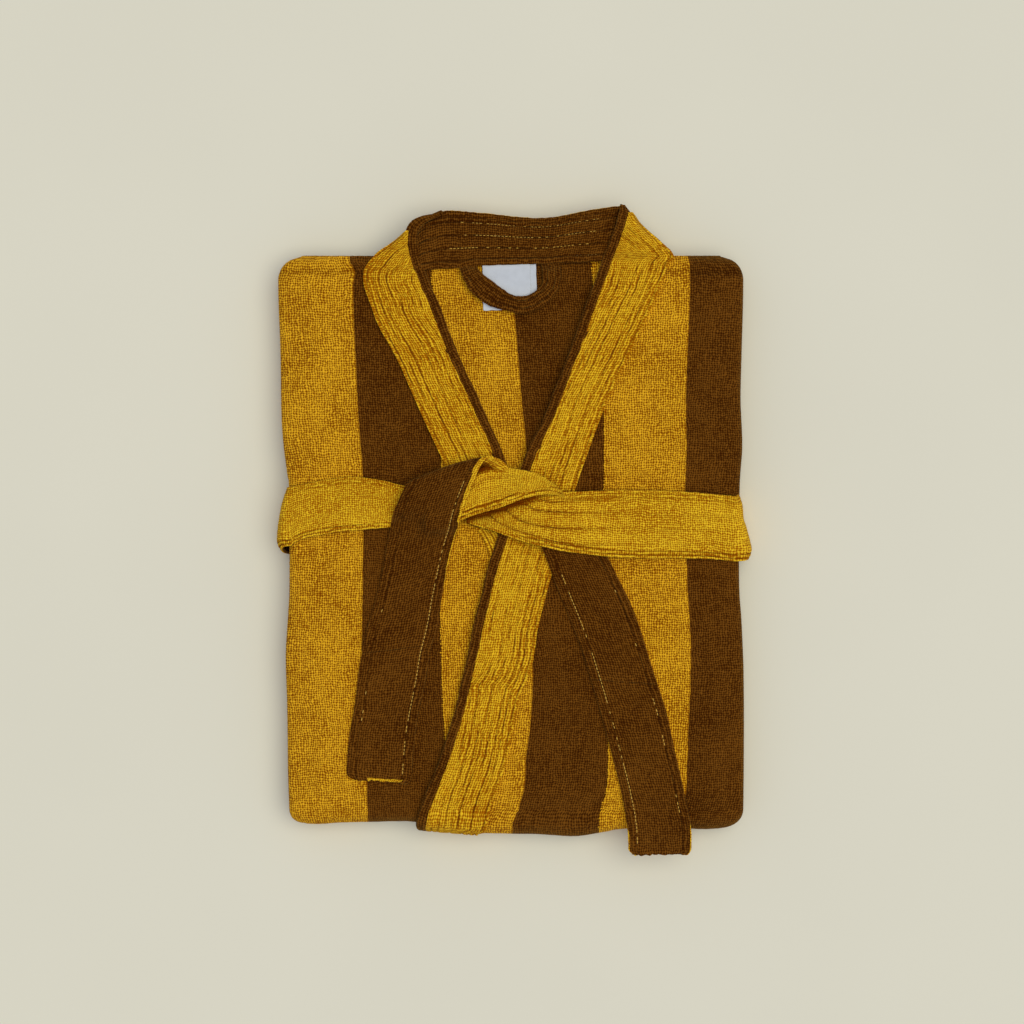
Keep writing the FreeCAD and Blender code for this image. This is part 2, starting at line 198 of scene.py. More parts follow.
def unit(vectors):
    """The vectors of a grid, each one long."""
    return vectors / np.maximum(np.linalg.norm(vectors, axis=2, keepdims=True), 1e-9)


# ---- meshes ----
def facing_out(mid):
    """Unit normals of a grid of points."""
    return unit(np.cross(np.gradient(mid, axis=0), np.gradient(mid, axis=1)))


def half_thickness(rows, columns, thick, rim=1.2):
    """Half thickness at each grid point, falling to nothing round the rim in a quarter circle."""
    def rise(d):
        edge = np.minimum(d - d[0], d[-1] - d)
        return np.sqrt(1 - (1 - np.clip(edge / rim, 0, 1)) ** 2)
    return 0.5 * thick * np.outer(rise(rows), rise(columns))


def mesh_object(name, verts, face_sets, materials, uv=None, slots=None, flat=0, painted_shading=None):
    """A mesh from points in mm and one array of faces for each number of corners, with a UV map in mm.

    The last faces, as many as flat says, are shaded flat. The last argument is painted shade that darkens the
    pile at each point, in seams, sewn rows, folds and hollows; below 0 it is painted light."""
    corners = np.concatenate([f.ravel() for f in face_sets])
    sizes = np.concatenate([np.full(len(f), f.shape[1]) for f in face_sets])
    mesh = bpy.data.meshes.new(name)
    mesh.vertices.add(len(verts))
    mesh.vertices.foreach_set("co", (np.asarray(verts) * MM).astype(np.float32).ravel())
    mesh.loops.add(len(corners))
    mesh.loops.foreach_set("vertex_index", corners.astype(np.int32))
    mesh.polygons.add(len(sizes))
    mesh.polygons.foreach_set("loop_start", (np.cumsum(sizes) - sizes).astype(np.int32))
    mesh.polygons.foreach_set("use_smooth", np.arange(len(sizes)) < len(sizes) - flat)
    for material in materials:
        mesh.materials.append(material)
    if slots is not None:
        mesh.polygons.foreach_set("material_index", slots.astype(np.int32))
    if uv is not None:
        layer = mesh.uv_layers.new(name="cloth")
        layer.data.foreach_set("uv", uv[corners].astype(np.float32).ravel())
    # painted shade at each point, kept as an attribute that the terry material reads; below 0 it is painted
    # light
    if painted_shading is not None:
        mesh.attributes.new("painted_shading", "FLOAT", "POINT").data.foreach_set("value", painted_shading.astype(np.float32))
    mesh.update(calc_edges=True)
    mesh.validate()
    made = bpy.data.objects.new(name, mesh)
    bpy.context.scene.collection.objects.link(made)
    return made


def quads(index, order):
    """A grid's faces, each with its four corners in the given order."""
    corners = (index[:-1, :-1], index[1:, :-1], index[1:, 1:], index[:-1, 1:])
    return np.stack([corners[k] for k in order], -1).reshape(-1, 4)


def ragged(mid, uv, amount):
    """The points moved a little within the cloth, so that its edges aren't straight."""
    along_rows, across = np.gradient(mid, axis=0), np.gradient(mid, axis=1)
    for direction, seed in ((across, 1), (along_rows, 2)):
        mid = mid + unit(direction) * (amount * noise(uv[..., 0], uv[..., 1], 2.7, seed))[..., None]
    return mid


def cloth(name, mid, half, uv, materials, painted_shading=None, fray=0.32):
    """A closed cloth about a grid of points. The second material, if any, is its reverse side."""
    rows, cols = half.shape
    mid = ragged(mid, uv, fray)
    out = facing_out(mid) * half[..., None]
    top = np.arange(rows * cols).reshape(rows, cols)
    under = top.copy()
    under[1:-1, 1:-1] = rows * cols + np.arange((rows - 2) * (cols - 2)).reshape(rows - 2, cols - 2)
    verts = np.concatenate([(mid + out).reshape(-1, 3), (mid - out)[1:-1, 1:-1].reshape(-1, 3)])
    uvs = np.concatenate([uv.reshape(-1, 2), uv[1:-1, 1:-1].reshape(-1, 2)])
    faces = np.concatenate([quads(top, (0, 1, 2, 3)), quads(under, (3, 2, 1, 0))])
    back = np.zeros((2, rows - 1, cols - 1), int)
    if len(materials) > 1:
        back[1] = 1
    # painted shade at each point, the same on the cloth's under side
    if painted_shading is not None:
        painted_shading = np.broadcast_to(painted_shading, half.shape)
        painted_shading = np.concatenate([painted_shading.ravel(), painted_shading[1:-1, 1:-1].ravel()])
    return mesh_object(name + "_cloth", verts, [faces], materials, uvs, back.ravel(), painted_shading=painted_shading)


def piece(made, body, slot, *nodes):
    """Puts a finished piece on its body, in place of its CAD nodes."""
    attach(made, body)
    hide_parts(*nodes)
    return made


def blended(made, bodies, span, slot, *nodes):
    """Bakes a finished piece's place into its mesh and hides its CAD nodes."""
    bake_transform(made)
    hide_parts(*nodes)


# ---- materials ----
class Nodes:
    """A short way to write a node tree."""

    def __init__(self, name):
        self.material = bpy.data.materials.new(name)
        self.material.use_nodes = True
        self.tree = self.material.node_tree
        self.tree.nodes.clear()

    def add(self, kind, inputs=None, **settings):
        node = self.tree.nodes.new("ShaderNode" + kind)
        for key, value in settings.items():
            setattr(node, key, value)
        for key, value in (inputs or {}).items():
            if isinstance(value, bpy.types.NodeSocket):
                self.tree.links.new(value, node.inputs[key])
            else:
                node.inputs[key].default_value = value
        return node.outputs

    def math(self, operation, *values, clamp=False):
        return self.add("Math", dict(enumerate(values)), operation=operation, use_clamp=clamp)[0]

    def centred(self, value):
        """A value from 0 to 1, moved down to -0.5 to 0.5."""
        return self.math("SUBTRACT", value, 0.5)

    def mix(self, share, a, b, blend="MIX"):
        return self.add("Mix", {0: share, 6: a, 7: b}, data_type="RGBA", blend_type=blend)[2]

    def scaled(self, colour, value):
        """A colour times a number."""
        grey = self.add("CombineColor", {0: value, 1: value, 2: value})[0]
        return self.mix(1.0, colour, grey, "MULTIPLY")

    def remap(self, value, low, high, to_low, to_high):
        inputs = {"Value": value, "From Min": low, "From Max": high, "To Min": to_low, "To Max": to_high}
        return self.add("MapRange", inputs, interpolation_type="SMOOTHSTEP")[0]

    def cloth_uv(self):
        return self.add("UVMap", uv_map="cloth")[0]

    def noise(self, uv, scale, detail=2.0, seed=0.0):
        """Noise across a cloth. scale is in lumps per mm."""
        shifted = self.add("VectorMath", {0: uv, 1: (seed, seed * 1.7, 0)})[0]
        inputs = {"Vector": shifted, "Scale": scale, "Detail": detail, "Roughness": 0.55}
        return self.add("TexNoise", inputs, noise_dimensions="2D")[0]

    def space_noise(self, scale):
        """Noise through the object's own space. scale is in lumps per metre."""
        place = self.add("TexCoord")["Object"]
        return self.add("TexNoise", {"Vector": place, "Scale": scale, "Detail": 2.0})[0]

    def bump(self, height, strength, depth):
        """Normals of a relief, its depth in mm."""
        return self.add("Bump", {"Height": height, "Strength": strength, "Distance": depth * MM})[0]

    def finished(self, **inputs):
        """The material, with the surface's inputs given in snake case."""
        named = {key.replace("_", " "): value for key, value in inputs.items()}
        self.add("OutputMaterial", {0: self.add("BsdfPrincipled", named)[0]})
        return self.material


OCHRE = ((0.225, 0.0545, 0.0002, 1), (0.930, 0.490, 0.0190, 1))      # between the loops, and on them
BELT_OCHRE = ((0.345, 0.094, 0.0003, 1), (1.0, 0.625, 0.0230, 1))
BAND_OCHRE = ((0.355, 0.099, 0.0003, 1), (1.0, 0.600, 0.0210, 1))
BROWN = ((0.041, 0.0082, 0.0002, 1), (0.192, 0.0690, 0.0070, 1))
# colour of painted shade, as a tint of the colour between the loops
PAINTED_SHADE_TINT = (0.40, 0.25, 0.30, 1)     # times the colour between the loops
THREAD = (0.78, 0.44, 0.030, 1)
TAPE = (0.62, 0.66, 0.72, 1)


def pile_loops(n, cells, ribs):
    """Height of the pile: one loop in each cell, each as tall as chance has it."""
    waves = [n.math("COSINE", n.math("MULTIPLY", cell, 2 * math.pi)) for cell in cells]
    loops = n.math("MULTIPLY_ADD", waves[0], ribs / 2, n.math("MULTIPLY_ADD", waves[1], (1 - ribs) / 2, 0.5))
    loop = n.add("CombineXYZ", {k: n.math("ROUND", cells[k]) for k in (0, 1)})[0]
    chance = n.add("TexWhiteNoise", {"Vector": loop}, noise_dimensions="2D")[0]
    return n.math("MULTIPLY", loops, n.math("MULTIPLY_ADD", chance, 0.66, 0.67))


def stripe_colours(n, loops, across):
    """Colours between the loops and on them, by stripe, with the pile's rough edge where two stripes meet."""
    rough = n.math("MULTIPLY_ADD", n.centred(loops), 1.2, across)
    stripe = n.math("FLOORED_MODULO", n.math("DIVIDE", rough, STRIPE), 2.0)
    ochre = n.math("GREATER_THAN", stripe, 1.0)
    return [n.mix(ochre, BROWN[k], OCHRE[k]) for k in (0, 1)]


def terry(name, colour=None, pitch=(2.14, 2.14), ribs=0.53, wild=1.0, bump=1.0):
    """Looped terry: columns and rows of pile loops with dark gaps between them, bent a little by wear.

    ribs is how much the columns stand out rather than the rows, and wild how far the loops stray. Without
    a colour it has stripes along the cloth, brown from 0 to one stripe's width and then ochre."""
    n = Nodes(name)
    uv = n.cloth_uv()
    split = n.add("SeparateXYZ", {0: uv})
    cells = []
    for axis in (0, 1):
        slow = n.centred(n.noise(uv, 0.045, seed=3.0 + 50 * axis))
        quick = n.centred(n.noise(uv, 0.30, detail=1.0, seed=31.0 + 50 * axis))
        place = n.math("MULTIPLY_ADD", slow, 4.5, split[axis])
        place = n.math("MULTIPLY_ADD", quick, 1.8 * wild, place)
        cells.append(n.math("DIVIDE", place, pitch[axis]))
    loops = pile_loops(n, cells, ribs)
    lumps = n.centred(n.noise(uv, 0.16, detail=3.0, seed=17.0))
    worn = n.centred(n.noise(uv, 0.022, detail=3.0, seed=9.0))
    height = n.math("MULTIPLY_ADD", lumps, 0.24 * wild, loops)
    # painted shade from each point's attribute: darker pile in seams, sewn rows, folds and hollows, and
    # painted light where it is below 0
    painted_shading = n.add("Attribute", attribute_name="painted_shading")["Fac"]
    light = n.math("MULTIPLY_ADD", worn, 0.42, height)
    light = n.remap(n.math("MULTIPLY_ADD", painted_shading, -0.4, light), 0.08, 0.95, 0.0, 1.0)
    if colour is None:
        colour = stripe_colours(n, loops, split[0])
    pile = n.mix(light, *colour)
    # deep painted shade turns the colour to a darker, warmer tint of the colour between the loops and fades
    # the sheen
    in_painted_shading = n.math("MULTIPLY", painted_shading, 0.95, clamp=True)
    return n.finished(
        Base_Color=n.mix(in_painted_shading, pile, n.mix(1.0, colour[0], PAINTED_SHADE_TINT, "MULTIPLY")),
        Roughness=1.0,
        Specular_IOR_Level=0.0,
        Sheen_Weight=n.math("MULTIPLY_ADD", in_painted_shading, -0.15, 0.15),
        Sheen_Roughness=0.5,
        Sheen_Tint=(1.0, 0.66, 0.18, 1),
        Normal=n.bump(height, 0.7 * bump, 1.0),
    )


def thread_material():
    """Twisted cotton thread."""
    n = Nodes("ochre_thread")
    twist = n.space_noise(1600.0)
    colour = n.scaled(THREAD, n.remap(twist, 0.3, 0.7, 0.6, 1.15))
    return n.finished(Base_Color=colour, Roughness=0.6, Sheen_Weight=0.3, Normal=n.bump(twist, 0.6, 0.2))


def tape_material():
    """White woven label tape: a fine satin weave with nothing written on it."""
    n = Nodes("white_tape")
    uv = n.cloth_uv()
    split = n.add("SeparateXYZ", {0: uv})
    ribs = []
    for axis, pitch in ((0, 0.55), (1, 0.8)):
        turn = n.math("MULTIPLY", split[axis], 2 * math.pi / pitch)
        ribs.append(n.math("MULTIPLY_ADD", n.math("SINE", turn), 0.5, 0.5))
    weave = n.math("MULTIPLY", *ribs)
    stain = n.noise(uv, 0.12, seed=5.0)
    shade = n.math("MULTIPLY", n.remap(weave, 0.0, 1.0, 0.92, 1.03), n.remap(stain, 0.2, 0.8, 0.95, 1.02))
    colour = n.scaled(TAPE, shade)
    return n.finished(Base_Color=colour, Roughness=0.55, Sheen_Weight=0.15, Normal=n.bump(weave, 0.35, 0.15))


STRIPED = terry("striped_terry")
BELT_TERRY = terry("belt_terry", BELT_OCHRE, pitch=(2.05, 2.1), ribs=0.5)
OCHRE_BAND = terry("ochre_band_terry", BAND_OCHRE, pitch=(1.9, 2.35), ribs=0.56, wild=0.75, bump=1.15)
BROWN_TERRY = terry("brown_terry", BROWN, pitch=(2.2, 2.25), ribs=0.54, wild=0.9)
THREADS = thread_material()
WHITE_TAPE = tape_material()
ROBE_MATERIALS = {
    "striped_terry": STRIPED, "ochre_terry": OCHRE_BAND, "brown_terry": BROWN_TERRY, "white_tape": WHITE_TAPE,
}


# ---- the fold ----
CORNER = 20.0          # radius of the packet's corners, seen from above
SHOULDER_CREASE = 14.0  # distance down the packet of the soft crease along the shoulders
SHOULDER_ROLL = 15.0   # how far before the shoulder end its cloth starts to turn down
BOTTOM_SAG = [
    (-260, 1.2), (-215, 1.2), (-190, 1.5), (-150, 0), (-100, -1.2), (-80, 1), (-55, 3), (-30, 5.2),
    (20, 6), (58, 8), (85, 4), (105, 1), (165, 1.5), (215, 1.5), (260, 1.2),
]
R_CORE = 3.0           # radius at which the shoulder end closes
FLOOR_GAP = 1.7        # from the floor to the middle of the lowest layer
RIGHT_SIDE = [
    (-290, 205), (-253, 206), (-226, 207), (-185, 207.5), (-157, 208), (-116, 209), (-75, 206.5),
    (-47, 205.5), (36, 206), (50, 207.5), (77, 211), (105, 213), (160, 214), (215, 216), (260, 216),
]
LEFT_SIDE = [
    (-290, 213), (-226, 214), (-143, 214), (-88, 212), (-47, 209.5), (36, 210), (77, 212.5), (119, 211),
    (160, 212), (215, 213.5), (260, 213.5),
]


class Puff:
    """How far the packet's padding lifts its top, as a raster from the cloth simulation."""
    step = 6.0
    lift = None

    @classmethod
    def at(cls, x, y):
        waves = 0.9 * noise(x, y, 95, 1) + 0.55 * noise(x, y, 46, 2) + 0.2 * noise(x, y, 21, 3)
        return waves if cls.lift is None else waves + read_raster(cls.lift, cls.step, x, y)


RASTER_LOW = np.array([-240.0, -310.0])
RASTER_HIGH = np.array([240.0, 330.0])
PUFF_LIMIT = 4.0
PUFF_FRAMES = 20


def slab_mesh():
    """A closed box as big as the packet, its mesh made even by a voxel remesh."""
    x, z = HALF_WIDTH - 4.0, 2 * Z_MID - 3.0
    low, high = AXIS_Y - 12.0, SHOULDER_Y - 2.0
    corners = np.array([(sx * x, y, h) for h in (3.0, z) for y in (low, high) for sx in (-1, 1)])
    faces = np.array([(0, 2, 3, 1), (4, 5, 7, 6), (0, 1, 5, 4), (2, 6, 7, 3), (0, 4, 6, 2), (1, 3, 7, 5)])
    box = mesh_object("slab_box", corners, [faces], [])
    remesh = box.modifiers.new("remesh", "REMESH")
    remesh.mode = "VOXEL"
    remesh.voxel_size = 5.5 * MM
    graph = bpy.context.evaluated_depsgraph_get()
    mesh = bpy.data.meshes.new_from_object(box.evaluated_get(graph))
    bpy.data.objects.remove(box)
    return mesh


def blow_up():
    """Simulates the packet as a closed cloth under pressure, held at the belt and on the floor.

    Sets Puff.lift to how far its top rises, limited and smoothed."""
    scene = bpy.context.scene
    slab = bpy.data.objects.new("slab", slab_mesh())
    scene.collection.objects.link(slab)
    before = vertex_places(slab)
    held = (before[:, 2] < 8.0) | ((before[:, 1] > BELT_LOW_Y) & (before[:, 1] < BELT_HIGH_Y + 10.0))
    group = slab.vertex_groups.new(name="held")
    group.add(np.flatnonzero(held).tolist(), 1.0, "REPLACE")
    simulation = slab.modifiers.new("cloth", "CLOTH")
    simulation.settings.vertex_group_mass = "held"
    simulation.settings.use_pressure = True
    simulation.settings.uniform_pressure_force = 4.0
    simulation.settings.effector_weights.gravity = 0.0
    simulation.point_cache.frame_start = 1
    simulation.point_cache.frame_end = PUFF_FRAMES
    for number in range(1, PUFF_FRAMES + 1):
        scene.frame_set(number)
    after = vertex_places(slab.evaluated_get(bpy.context.evaluated_depsgraph_get()))
    top = before[:, 2] > 2 * Z_MID - 8.0
    Puff.lift = risen(before[top, :2], np.clip(after[top, 2] - before[top, 2], -PUFF_LIMIT, PUFF_LIMIT))
    bpy.data.objects.remove(slab)
    scene.frame_set(1)


def vertex_places(made):
    """Vertices of an object in mm."""
    co = np.zeros(len(made.data.vertices) * 3, np.float32)
    made.data.vertices.foreach_get("co", co)
    return co.reshape(-1, 3) / MM


def risen(places, rise):
    """A smooth raster of the rise at scattered places."""
    size = ((RASTER_HIGH - RASTER_LOW) / Puff.step).astype(int) + 1
    total, count = np.zeros((2, size[1], size[0]))
    cell = np.round((places - RASTER_LOW) / Puff.step).astype(int)
    np.add.at(total, (cell[:, 1], cell[:, 0]), rise)
    np.add.at(count, (cell[:, 1], cell[:, 0]), 1)
    return blurred(total, 4) / np.maximum(blurred(count, 4), 0.3)


def read_raster(values, step, x, y):
    """A raster's value at any place, by bilinear interpolation."""
    x, y = np.broadcast_arrays(x, y)
    a = np.clip((x - RASTER_LOW[0]) / step, 0, values.shape[1] - 1.001)
    b = np.clip((y - RASTER_LOW[1]) / step, 0, values.shape[0] - 1.001)
    i, j = a.astype(int), b.astype(int)
    f, g = a - i, b - j
    low = values[j, i] * (1 - f) + values[j, i + 1] * f
    high = values[j + 1, i] * (1 - f) + values[j + 1, i + 1] * f
    return low * (1 - g) + high * g


def belt_channel(y):
    """1 where the belt can press in the underside, at any of its places."""
    low, high = BELT_LOW_Y - BELT_TRAVEL, BELT_HIGH_Y + BELT_TRAVEL
    return step_up(y, low - 14, low - 3) * (1 - step_up(y, high + 3, high + 14))


def in_outline(x, y):
    """X drawn in to the packet's rounded corners and its uneven sides."""
    to_end = np.where(y > 0, SHOULDER_Y - y, y - (AXIS_Y - R_LEFT_BAND))
    beyond = step_up(np.abs(x), HALF_WIDTH - 3 * CORNER, HALF_WIDTH)
    x = x - np.sign(x) * corner_inset(to_end, CORNER) * beyond * (y < SHOULDER_Y + 3)
    reach = np.where(x > 0, along(LEFT_SIDE)(y), along(RIGHT_SIDE)(y))
    outer = np.maximum(np.abs(x) - 100, 0)
    return x + np.sign(x) * outer * (reach - HALF_WIDTH) / (HALF_WIDTH - 100)


def folded(x, r, v, shoulder=True):
    """Where a cloth lies in the packet, from X, its radius and the distance down from the shoulder end."""
    x, r, v = np.broadcast_arrays(x, r, v)
    over = v - TOP_RUN
    turn = np.pi * np.clip(over / TURN_RUN, 0, 1)
    y_flat = SHOULDER_Y - np.minimum(v, TOP_RUN) + np.maximum(over - TURN_RUN, 0)
    if shoulder:
        roll = np.clip(1 - v / SHOULDER_ROLL, 0, 1)
        r = np.where(v < SHOULDER_ROLL, R_CORE + (r - R_CORE) * np.sqrt(1 - roll ** 2), r)
        y_flat = y_flat + 2.2 * np.clip(1 - v / 40, 0, 1) ** 2
    top = (1 + np.cos(turn)) / 2
    share = np.clip(r / R_LEFT_BAND, 0, 1)
    r = r + (top * Puff.at(x, y_flat) - (1 - top) * BELT_PRESS * belt_channel(y_flat)) * share
    r = r + (np.minimum(r, Z_MID - FLOOR_GAP) - r) * (1 - top)
    y = y_flat - (r + along(BOTTOM_SAG)(x)) * np.sin(turn)
    return np.stack([in_outline(x, y), y, Z_MID + r * np.cos(turn)], -1)


NEAR_END = np.array([0, 0.15, 0.5, 0.9, 1.3])     # rows close to a cloth's rolled end


def down_packet(step_top, step_under=7.0, start=0.0):
    """Distances down the packet for a cloth's rows: close on the top and the fold, wide underneath."""
    end = TOP_RUN + TURN_RUN + (HEM_Y - AXIS_Y)
    top = np.arange(start + 2.2, TOP_RUN, step_top)
    turn = TOP_RUN + np.arange(0, TURN_RUN, 2.6)
    under = np.arange(TOP_RUN + TURN_RUN, end - 3.0, step_under)
    return np.concatenate([start + NEAR_END, top, turn, under, end - NEAR_END[::-1]])


# ---- robe panels ----
def robe_cloth(name, mid, half, uv, slot, painted_shading=None, fray=0.32):
    """A cloth of the robe in one material, in place of the CAD node of its name."""
    piece(cloth(name, mid, half, uv, [ROBE_MATERIALS[slot]], painted_shading, fray), "robe", slot, name)


SIDE_START = HALF_WIDTH - 12.0                 # where a panel's side fold starts
NEAR_FLAP_END = np.array([1.2, 0.7, 0.3, 0])


def side_section(r):
    """X and radius of a front, from its flat part round the plump side fold to the end of its flap."""
    return [
        (SIDE_START, r), (HALF_WIDTH - 4.5, 0.90 * r), (HALF_WIDTH - 1.3, 0.62 * r),
        (HALF_WIDTH - 2.6, 0.25 * r), (HALF_WIDTH - 8.0, 1.9), (HALF_WIDTH - 17.0, 3.6),
        (HALF_WIDTH - 28.0, 5.6), (HALF_WIDTH - 55.0, 5.9), (HALF_WIDTH - 88.0, 5.9),
    ]


def turned_under(section, close, wide_from, wide_step):
    """Distances along a section, with X and radius there: given ones, then wider apart in the flap."""
    fine = smooth_line(section)
    run = run_length(fine)
    wide = np.arange(wide_from, run[-1] - 2.5, wide_step)
    around = np.concatenate([close, wide, run[-1] - NEAR_FLAP_END])
    return around, *read_line(fine, run, around)


def front_panel(name, side, r, seam_x, stripe_edge, stripe_width, inner_scale, tone):
    """A front: from under its band, across the packet's top and round its side, all down the packet."""
    v = down_packet(2.2)[:, None]
    around, x_turn, r_turn = turned_under(side_section(r), np.arange(1.6, 34, 1.7), 36, 6.0)
    flat = stations(100.0, 1.0)
    flat = flat[flat <= 100 - 1.2] / (100 - 1.2)
    seam = side * (along(seam_x)(v) - side * 5.0)
    x_flat = seam + (SIDE_START - seam) * flat

    def across(flat_part, turned_part):
        turned_part = np.broadcast_to(turned_part, (len(v), len(around)))
        return np.concatenate([flat_part, turned_part], 1)[:, ::side]

    x = side * across(x_flat, x_turn)
    u = side * across(x_flat, SIDE_START + around) - along(stripe_edge)(v)
    u = u * STRIPE / along(stripe_width)(v)
    u = np.where(u < 0, along(inner_scale)(v) * u, u) + tone
    columns = np.concatenate([flat * 100, 100 + around])
    columns = columns if side > 0 else columns[-1] - columns[::-1]
    fuzz = 0.3 * noise(u, v, 3.0, 6) * (x * side > SIDE_START)
    shoulder = bell(v - SHOULDER_CREASE - 1.5 * noise(v, 0.0, 40, 8), 3.2)
    radius = across(np.full(x_flat.shape, r), r_turn) + surface_relief(u, v) + fuzz - 1.2 * shoulder
    half = half_thickness(v, columns, SHEET)
    # the shoulder fold is also painted darker: painted shade along the fold
    robe_cloth(name, folded(x, radius, v), half, grid_of(u, v), "striped_terry", 0.22 * shoulder)


def surface_relief(u, v):
    """Soft unevenness of a laid cloth and the tufts of its pile."""
    return 0.15 * noise(u, v, 26, 2) + 0.10 * noise(u, v, 9, 3) + 0.10 * noise(u, v, 3.1, 4)


# tables of the fronts and bands start with the distance down the packet. The seams' second number is X
LEFT_SEAM = [
    (-60, 150), (0, 147), (6, 142), (42, 127), (135, 84), (214, 58), (297, 35), (352, 21.6), (389, 7.4),
    (479, -12.9), (523, -27), (560, -32), (700, -32), (1100, -32),
]
RIGHT_SEAM = [
    (-60, -150), (0, -130), (11.7, -135.2), (21, -135.8), (43, -129.5), (63, -122.4), (95, -104.9),
    (130, -89.2), (177, -68.4), (245, -35.4), (278, -19.5), (400, 12), (508, 32), (560, 32), (1100, 32),
]
LEFT_STRIPE = [(-60, 83.7), (0, 83.7), (131, 84), (250, 85), (462, 88), (508, 82), (560, 80), (1100, 84)]
LEFT_STRIPE_WIDTH = [(-60, 80), (0, 80), (168, 76), (350, 77), (462, 72), (560, 74), (1100, 74)]
RIGHT_STRIPE = [
    (-60, -148.5), (0, -148.5), (9, -146.0), (16, -143.0), (24, -144.6), (60, -144.2), (131, -141.7),
    (196, -139), (315, -139.8), (407, -138), (518, -135), (1100, -138),
]
RIGHT_STRIPE_WIDTH = [(-60, 74), (1100, 74)]
# how much the next stripe toward the middle is narrowed, at distances down the packet
LEFT_INNER = [
    (-60, 0.93), (300, 0.93), (350, 1.06), (375, 1.12), (396, 1.10), (421, 1.05), (442, 1.0),
    (465, 0.955), (506, 0.97), (520, 0.925), (560, 0.93), (1100, 0.93),
]
RIGHT_INNER = [(-60, 0.93), (1100, 0.93)]


def front_panels():
    """Both fronts."""
    left = LEFT_SEAM, LEFT_STRIPE, LEFT_STRIPE_WIDTH, LEFT_INNER
    right = RIGHT_SEAM, RIGHT_STRIPE, RIGHT_STRIPE_WIDTH, RIGHT_INNER
    front_panel("left_front_panel", 1, R_LEFT_FRONT, *left, STRIPE)
    front_panel("right_front_panel", -1, R_RIGHT_FRONT, *right, 0)


BACK_STRIPE = [(-60, -1), (0, -1), (53, 2.8), (130, 9), (187, 13.8), (300, 14), (1100, 5)]


def back_panel():
    """The back: flat across the packet, both sides turned under. Its inner face shows in the neck opening."""
    v = down_packet(2.4, 9.0)[:, None]
    section = [
        (SIDE_START, R_BACK), (HALF_WIDTH - 8.0, R_BACK - 0.2),
        (HALF_WIDTH - 5.9, R_BACK - 1.3), (HALF_WIDTH - 8.5, R_BACK - 2.3),
        (HALF_WIDTH - 14.0, R_BACK - 2.4), (HALF_WIDTH - 88.0, R_BACK - 2.4),
    ]
    around, x_turn, r_turn = turned_under(section, np.arange(0, 16, 1.2), 18, 9.0)
    inner = np.concatenate([np.arange(-HALF_WIDTH + 20, -96, 8.0), np.arange(-96, 96.1, 2.2),
                            np.arange(104, HALF_WIDTH - 15, 8.0)])
    x = np.concatenate([-x_turn[::-1], inner, x_turn])
    r = np.concatenate([r_turn[::-1], np.full(len(inner), R_BACK), r_turn])
    across = np.concatenate([-(SIDE_START + around[::-1]), inner, SIDE_START + around])
    u = across - along(BACK_STRIPE)(v)
    radius = r + surface_relief(u + 900, v) * (np.abs(x) < HALF_WIDTH - 20)
    half = half_thickness(v, across, SHEET)
    robe_cloth("back_panel", folded(x, radius, v), half, grid_of(u, v), "striped_terry")


# ---- front bands ----
# X of a band's free edge, toward the opening, and of its outer edge
LEFT_FREE = [
    (-49, 100.5), (-47, 99.4), (-32, 95.9), (-19, 91.3), (0, 84.2), (24, 75.4), (87, 52.4), (150, 28.5),
    (177, 14.7), (260, -13.8), (315, -29.4), (407, -50.2), (462, -66.7), (520, -88), (560, -88),
    (1100, -88),
]
LEFT_OUTER = [
    (-49.5, 103), (-43.5, 108.6), (-39, 113.2), (-32, 117.8), (-25, 124.7), (-17, 133.9), (-10, 141.9),
    (-3.8, 147.7), (1, 148.5), (7, 144), (22, 137.7), (42, 129.8), (90, 107.3), (135, 86.4), (160, 76.8),
    (214, 58), (297, 35), (340, 24), (357, 21.5), (372, 19), (387, 14.5), (400, 8.5), (419, 3.6),
    (456, -3.7), (481, -10.6), (499, -17.3), (524, -24.5), (560, -32), (1100, -32),
]
RIGHT_FREE = [
    (-40.5, -62), (-37.8, -68.5), (-34.7, -75), (-30.5, -81), (-24, -86), (-11, -87), (0, -84.6),
    (9.4, -81.8), (18.6, -77.7), (32, -72.5), (43, -67.4), (87, -50.1), (151, -21.6), (182, -8.3),
    (280, 22), (400, 55), (508, 88), (560, 88), (1100, 88),
]
RIGHT_OUTER = [
    (-24.5, -98), (-17.6, -105.3), (-11.8, -113.4), (-4.4, -123.7), (3.7, -130.6), (11.7, -135.2),
    (21, -135.8), (30, -134.1), (43, -129.5), (63, -122.4), (95, -105.2), (130, -89.7), (162, -75.4),
    (194, -60.1), (245, -35.4), (278, -19.5), (400, 8), (508, 32), (560, 32), (1100, 32),
]
LIP = 8.6
SEW_PITCH = 5.7        # between the band's rows of stitching
FIRST_ROW = 3.1        # from the outer edge
BAND_WIDTH = 56.0
ROW_PULL = (0.85, 0, 0.35, 0, 0.25, 0, 0, 0)      # how much more each row is pulled in, from the outer one


def band_rows(edge, v):
    """How deep a place lies in one of the band's sewn rows. edge is its distance from the outer edge."""
    deep = np.zeros(edge.shape)
    for row, pull in enumerate(ROW_PULL):
        place = FIRST_ROW + row * SEW_PITCH + 0.6 * (row > 0) * noise(v, 0.0, 60, 10 + row)
        uneven = 0.30 + 0.6 * noise(v, 0.0, 30, 20 + row) + 0.5 * noise(v, 0.0, 3.2, 40 + row)
        deep = deep + np.clip(uneven + pull, 0, 1) * bell(edge - place, 1.15)
    return deep


def band_pucker(u, v):
    """Unevenness of the pile between the sewn rows."""
    return 0.25 * noise(u * 1.5, v, 7, 30) + 0.2 * noise(u * 1.3, v, 3.2, 31)


